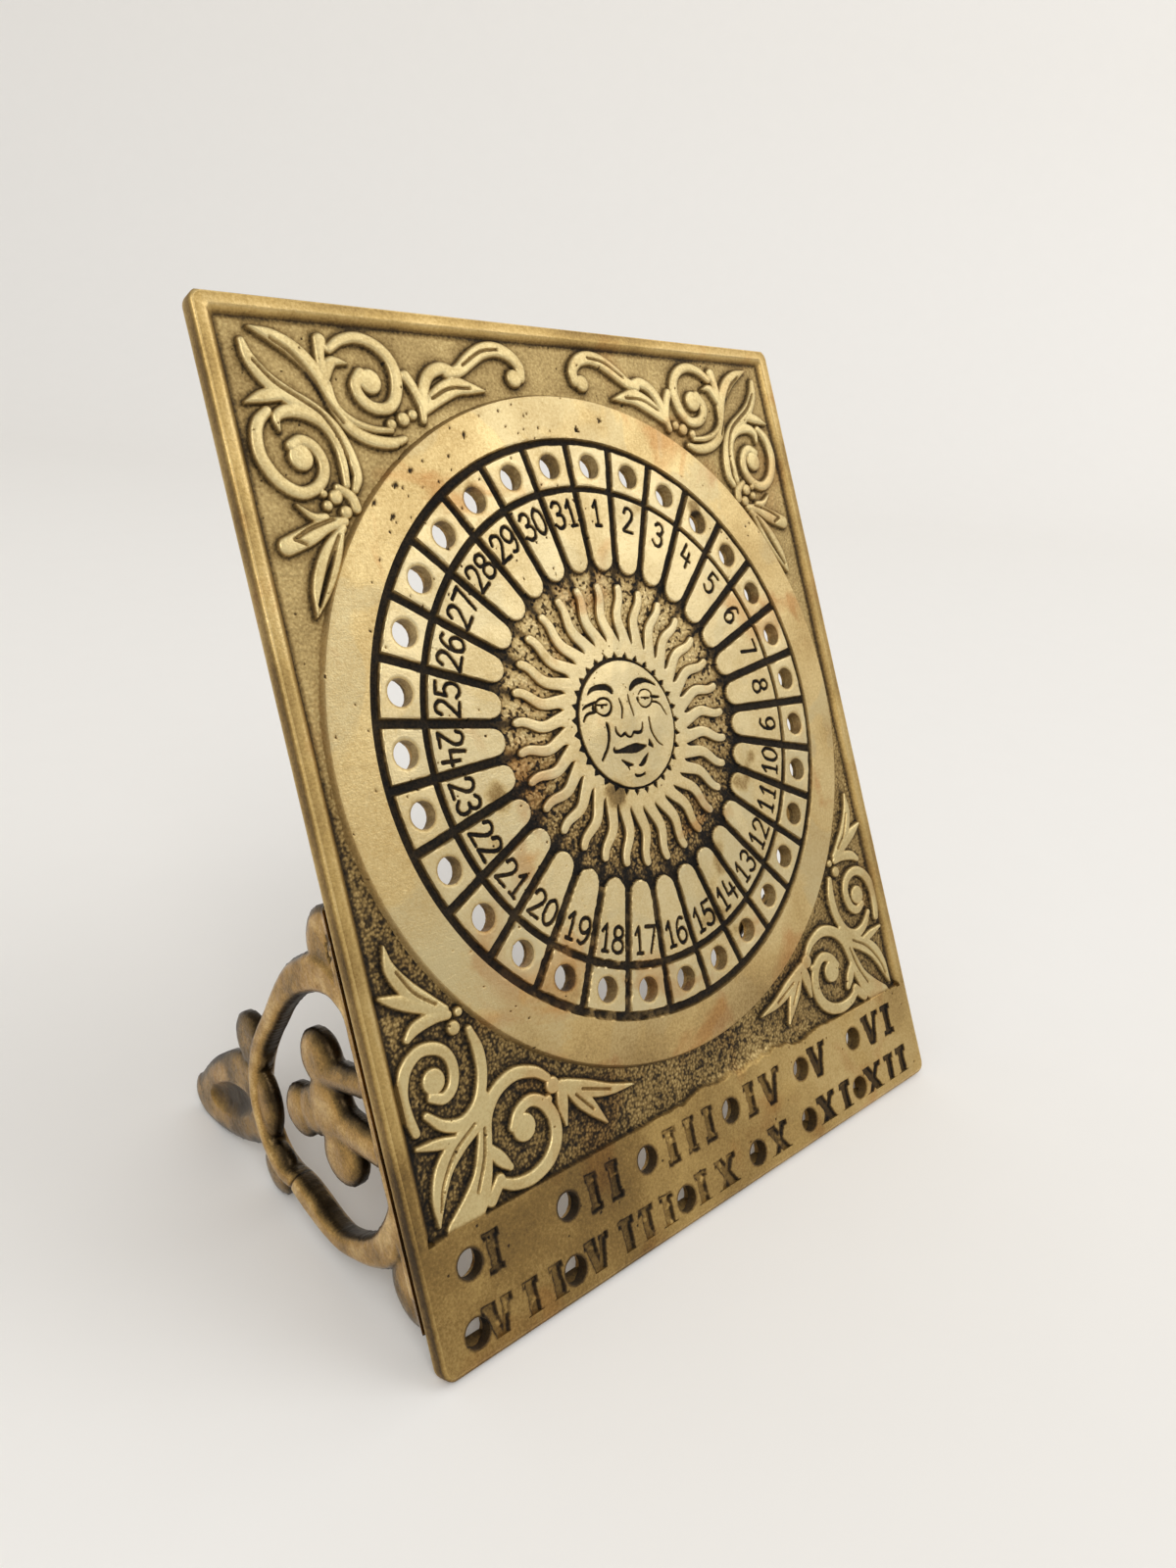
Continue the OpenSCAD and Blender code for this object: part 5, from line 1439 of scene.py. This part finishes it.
class SUNDIAL_OT_wings(bpy.types.Operator):
    """The two pierced side wings, each with its leaf, foot and hinge knuckles"""
    bl_idname = "sundial.wings"
    bl_label = "Wings"

    def execute(self, context):
        s = context.scene.sundial_wing
        for name, side in (("wing_left", -1.0), ("wing_right", 1.0)):
            # The grid's x runs outwards from the plate on the right and towards it on the left
            x, u = patch(WING_EDGE, WING_END, WING_LOW, WING_END, s.step)
            d = x if side > 0 else WING_EDGE + WING_END - x
            parts = wing_depths(d, u)
            depth = np.maximum.reduce(parts)
            # Points near the outline move onto it
            gy, gx = np.gradient(depth, s.step)
            near = (np.abs(depth) < 0.5 * s.step) & (d > 3.3)
            d = np.where(near, d - depth * side * gx, d)
            u = np.where(near, u - depth * gy, u)
            q = np.clip(depth, 0, 99)
            # Rails stand full height and are round, lobes lie lower behind them, the leaf swells
            half = np.full(d.shape, s.edge)
            for part, soft, full in zip(parts, (1.3, 2.8, 3.2), (WING_HALF, 1.5, 1.95)):
                swell = np.sqrt(1 - (1 - np.clip(part / soft, 0, 1)) ** 2)
                half = np.maximum(half, s.edge + (full - s.edge) * swell)
            # The wing stands flush against the plate's back
            seat = smooth(0.0, 2.2, d - WING_EDGE)
            half = np.where((depth > 0) & (d < 5.6), WING_HALF - (WING_HALF - half) * seat, half)
            # The foot's hollow, a rough pocket in the upper lobe, the skin, and a crease in the lower rail
            hollow = ((d - 50.3) / 8.0) ** 2 + ((u - 34.2) / 3.0) ** 2
            dip = 1.3 * np.clip(1 - hollow, 0, 1) ** 0.7
            pocket = 0.5 * smooth(0.1, 0.6, cloud(d, u, 2.5, 141))
            pocket = pocket * smooth(3.0, 0.0, np.hypot(d - 5.5, u - 57) - 1.5)
            skin = 0.05 * cloud(d, u, 3.0, 142) + 0.05 * cloud(d, u, 0.8, 143)
            skin = skin * smooth(0.1, 0.8, q)
            crease = np.exp(-(sweep(d, u, np.array([(32.0, 24.5, 0.0), (36.4, 20.0, 0.0)]))[0] / 0.22) ** 2)
            outer = np.minimum(half + skin - 0.09, WING_HALF) - np.minimum(dip, half - s.edge)
            outer = outer - pocket - 0.5 * crease
            back = np.maximum(-half + 0.06 * smooth(0.1, 0.8, q) * cloud(d, u, 2.0, 144), -WING_HALF)
            surface_tone = smooth(0.9, WING_HALF, half)
            dark = (0.64 - 0.4 * surface_tone + 0.2 * cloud(d, u, 3.0, 145) + 0.3 * (pocket > 0.1)
                    + 0.3 * np.clip(dip, 0, 1) + 0.2 * smooth(0.5, 0.0, q) + 0.5 * crease)
            dark = dark - 0.2 * smooth(-0.1, 0.5, cloud(d, u, 9.0, 146)) * smooth(0.6, 1.2, q)
            # A wing's own frame: x back from the plate, y up, z outwards
            origin = DIAL + MM * (RIGHT * side * (HALF_W - WING_HALF) + UP * BOTTOM)
            body = closed_sheet(name + "_body", side * d, u, outer, dark, (depth > 0) | near, back,
                                brass("toned"), axes=(-side * OUT, UP, side * RIGHT), origin=origin,
                                sharp=50)
            knuckles = [self.knuckle(name, side, y) for y in HINGE_Y]
            settle(join(name + "_cast", [body] + knuckles), name, name)
        return {"FINISHED"}

    def knuckle(self, name, side, y):
        """One hinge barrel with its arm to the wing"""
        r, length = LUG_R, 5.0
        reach = HALF_W - 2 * WING_HALF - HINGE_X + 1.2
        low = -(r - 0.35)
        profile = [(-r * sin(a), r * cos(a)) for a in np.linspace(0, pi, 24)]
        profile += [(reach * 0.2, low), (reach, low), (reach, r), (reach * 0.2, r)]
        n = len(profile)
        points = [(side * (HINGE_X + px), y + v, -(HINGE_D + pz))
                  for v in (-length / 2, length / 2) for px, pz in profile]
        ring = np.arange(n)
        after = np.roll(ring, -1)
        walls = np.column_stack([ring, after, after + n, ring + n])
        caps = np.array(tessellate_polygon([[Vector((px, pz, 0)) for px, pz in profile]]))
        obj = new_piece(name + "_knuckle", to_shared(np.array(points)), walls,
                        np.vstack([caps[:, ::-1], caps + n]), np.full(2 * n, HINGE_DARK), brass("toned"), 35)
        fix_normals(obj)
        return obj


class SUNDIAL_OT_pins(bpy.types.Operator):
    """The four riveted hinge pins, kept from the CAD with their own finish"""
    bl_idname = "sundial.pins"
    bl_label = "Hinge pins"

    def execute(self, context):
        for side in ("left", "right"):
            for level in ("lower", "upper"):
                node = frame["nodes"]["hinge_pin_%s_%s" % (side, level)]
                node.data.materials.clear()
                node.data.materials.append(brass("wire"))
        return {"FINISHED"}


class SUNDIAL_OT_stage(bpy.types.Operator):
    """Floor, backdrop, lamps and camera"""
    bl_idname = "sundial.stage"
    bl_label = "Stage"

    def execute(self, context):
        s = context.scene.sundial_stage
        # A pale floor that curves up into a backdrop well behind
        profile = [(-1.5, 0.0), (0.9, 0.0)]
        profile += [(0.9 + 0.5 * sin(a), 0.5 - 0.5 * cos(a)) for a in np.linspace(0.1, pi / 2, 14)]
        profile += [(1.4, 2.2)]
        n = len(profile)
        turn = Matrix.Rotation(radians(-45), 4, "Z")
        points = [tuple(turn @ Vector((x, y, z))) for x in (-2.5, 2.5) for y, z in profile]
        ring = np.arange(n - 1)
        quads = np.column_stack([ring, ring + n, ring + n + 1, ring + 1])
        material, tree = empty_material("Matt painted floor")
        place = put(tree, "ShaderNodeTexCoord").outputs["Object"]
        speck = put(tree, "ShaderNodeTexNoise", {"Scale": 60.0, "Detail": 3.0}, {"Vector": place})
        ramp = put(tree, "ShaderNodeValToRGB", {}, {"Fac": speck.outputs["Fac"]})
        base = tuple(s.floor)
        ramp.color_ramp.elements[0].color = tuple(c * 0.985 for c in base[:3]) + (1.0,)
        ramp.color_ramp.elements[1].color = base
        shader = put(tree, "ShaderNodeBsdfPrincipled", {"Roughness": 0.75},
                     {"Base Color": ramp.outputs["Color"]})
        put(tree, "ShaderNodeOutputMaterial", {}, {"Surface": shader.outputs["BSDF"]})
        floor = new_piece("floor", np.array(points), quads, [], None, material, 60)
        # Light from all round, which the camera itself sees as white
        world = bpy.data.worlds.new("Studio")
        bpy.context.scene.world = world
        world.use_nodes = True
        tree = world.node_tree
        tree.nodes.clear()
        path = put(tree, "ShaderNodeLightPath")
        strength = calculated(tree, "MULTIPLY_ADD", path.outputs["Is Camera Ray"], 1.0 - s.sky, s.sky)
        back = put(tree, "ShaderNodeBackground", {"Color": linear("#ffffff")}, {"Strength": strength})
        put(tree, "ShaderNodeOutputWorld", {}, {"Surface": back.outputs[0]})
        for name, spot, aim, size, power in (
                ("Key", (-1.1, -1.5, 1.9), (0, 0, 0.06), 1.4, s.key * 14),
                ("Fill", (1.35, -1.0, 1.5), (0, 0, 0.06), 1.4, s.key * 6.4)):
            data = bpy.data.lights.new(name, "AREA")
            data.size, data.energy = size, power
            lamp = bpy.data.objects.new(name, data)
            lamp.location = spot
            lamp.rotation_euler = (Vector(aim) - Vector(spot)).to_track_quat("-Z", "Y").to_euler()
            context.scene.collection.objects.link(lamp)
        data = bpy.data.cameras.new("Camera")
        camera = bpy.data.objects.new("Camera", data)
        context.scene.collection.objects.link(camera)
        # The photograph's own place and turn, in mm and as unit directions
        place = Vector((-126.3126, -120.4112, 127.0591)) * MM
        right = Vector((0.7270254, -0.6809732, 0.0878039))
        up = Vector((0.1856178, 0.3180484, 0.9297264))
        back = -Vector((0.6610447, 0.6596368, -0.3576300))
        camera.matrix_world = Matrix((
            (right.x, up.x, back.x, place.x), (right.y, up.y, back.y, place.y),
            (right.z, up.z, back.z, place.z), (0, 0, 0, 1)))
        data.sensor_fit, data.sensor_height, data.lens = "VERTICAL", 36.0, 25.651
        data.clip_start = 0.005
        context.scene.camera = camera
        context.scene.view_settings.view_transform = "Standard"
        return {"FINISHED"}


class SUNDIAL_PT_panel(bpy.types.Panel):
    """The sidebar panel"""
    bl_idname = "SUNDIAL_PT_panel"
    bl_label = "Sundial Calendar"
    bl_space_type = "VIEW_3D"
    bl_region_type = "UI"
    bl_category = "Sundial"

    def draw(self, context):
        """The settings in a box for each group, then a button for each step"""
        for group in GROUPS:
            box = self.layout.box()
            settings = getattr(context.scene, group)
            for key in settings.bl_rna.properties.keys():
                if key not in ("rna_type", "name"):
                    box.prop(settings, key)
        for step in STEPS:
            self.layout.operator(step.bl_idname)


GROUPS = {"sundial_plate": SUNDIAL_PG_plate, "sundial_rays": SUNDIAL_PG_rays,
          "sundial_wing": SUNDIAL_PG_wing, "sundial_stage": SUNDIAL_PG_stage}
STEPS = (SUNDIAL_OT_stage, SUNDIAL_OT_rim, SUNDIAL_OT_back, SUNDIAL_OT_corners, SUNDIAL_OT_band,
         SUNDIAL_OT_dial, SUNDIAL_OT_sun, SUNDIAL_OT_rays, SUNDIAL_OT_lugs, SUNDIAL_OT_wings,
         SUNDIAL_OT_pins)


def register():
    """Registers the settings, the operators and the panel"""
    for group in GROUPS.values():
        bpy.utils.register_class(group)
    for name, group in GROUPS.items():
        setattr(bpy.types.Scene, name, PointerProperty(type=group))
    for item in STEPS + (SUNDIAL_PT_panel,):
        bpy.utils.register_class(item)


def unregister():
    """Takes all of it away again"""
    for item in reversed(STEPS + (SUNDIAL_PT_panel,)):
        bpy.utils.unregister_class(item)
    for name in GROUPS:
        delattr(bpy.types.Scene, name)
    for group in reversed(list(GROUPS.values())):
        bpy.utils.unregister_class(group)


def main():
    """Builds the object on its stage"""
    register()
    bpy.ops.sundial.stage()
    bpy.ops.sundial.rim()
    bpy.ops.sundial.back()
    bpy.ops.sundial.corners()
    bpy.ops.sundial.band()
    bpy.ops.sundial.dial()
    bpy.ops.sundial.sun()
    bpy.ops.sundial.rays()
    bpy.ops.sundial.lugs()
    bpy.ops.sundial.wings()
    bpy.ops.sundial.pins()


if __name__ == "__main__":
    main()
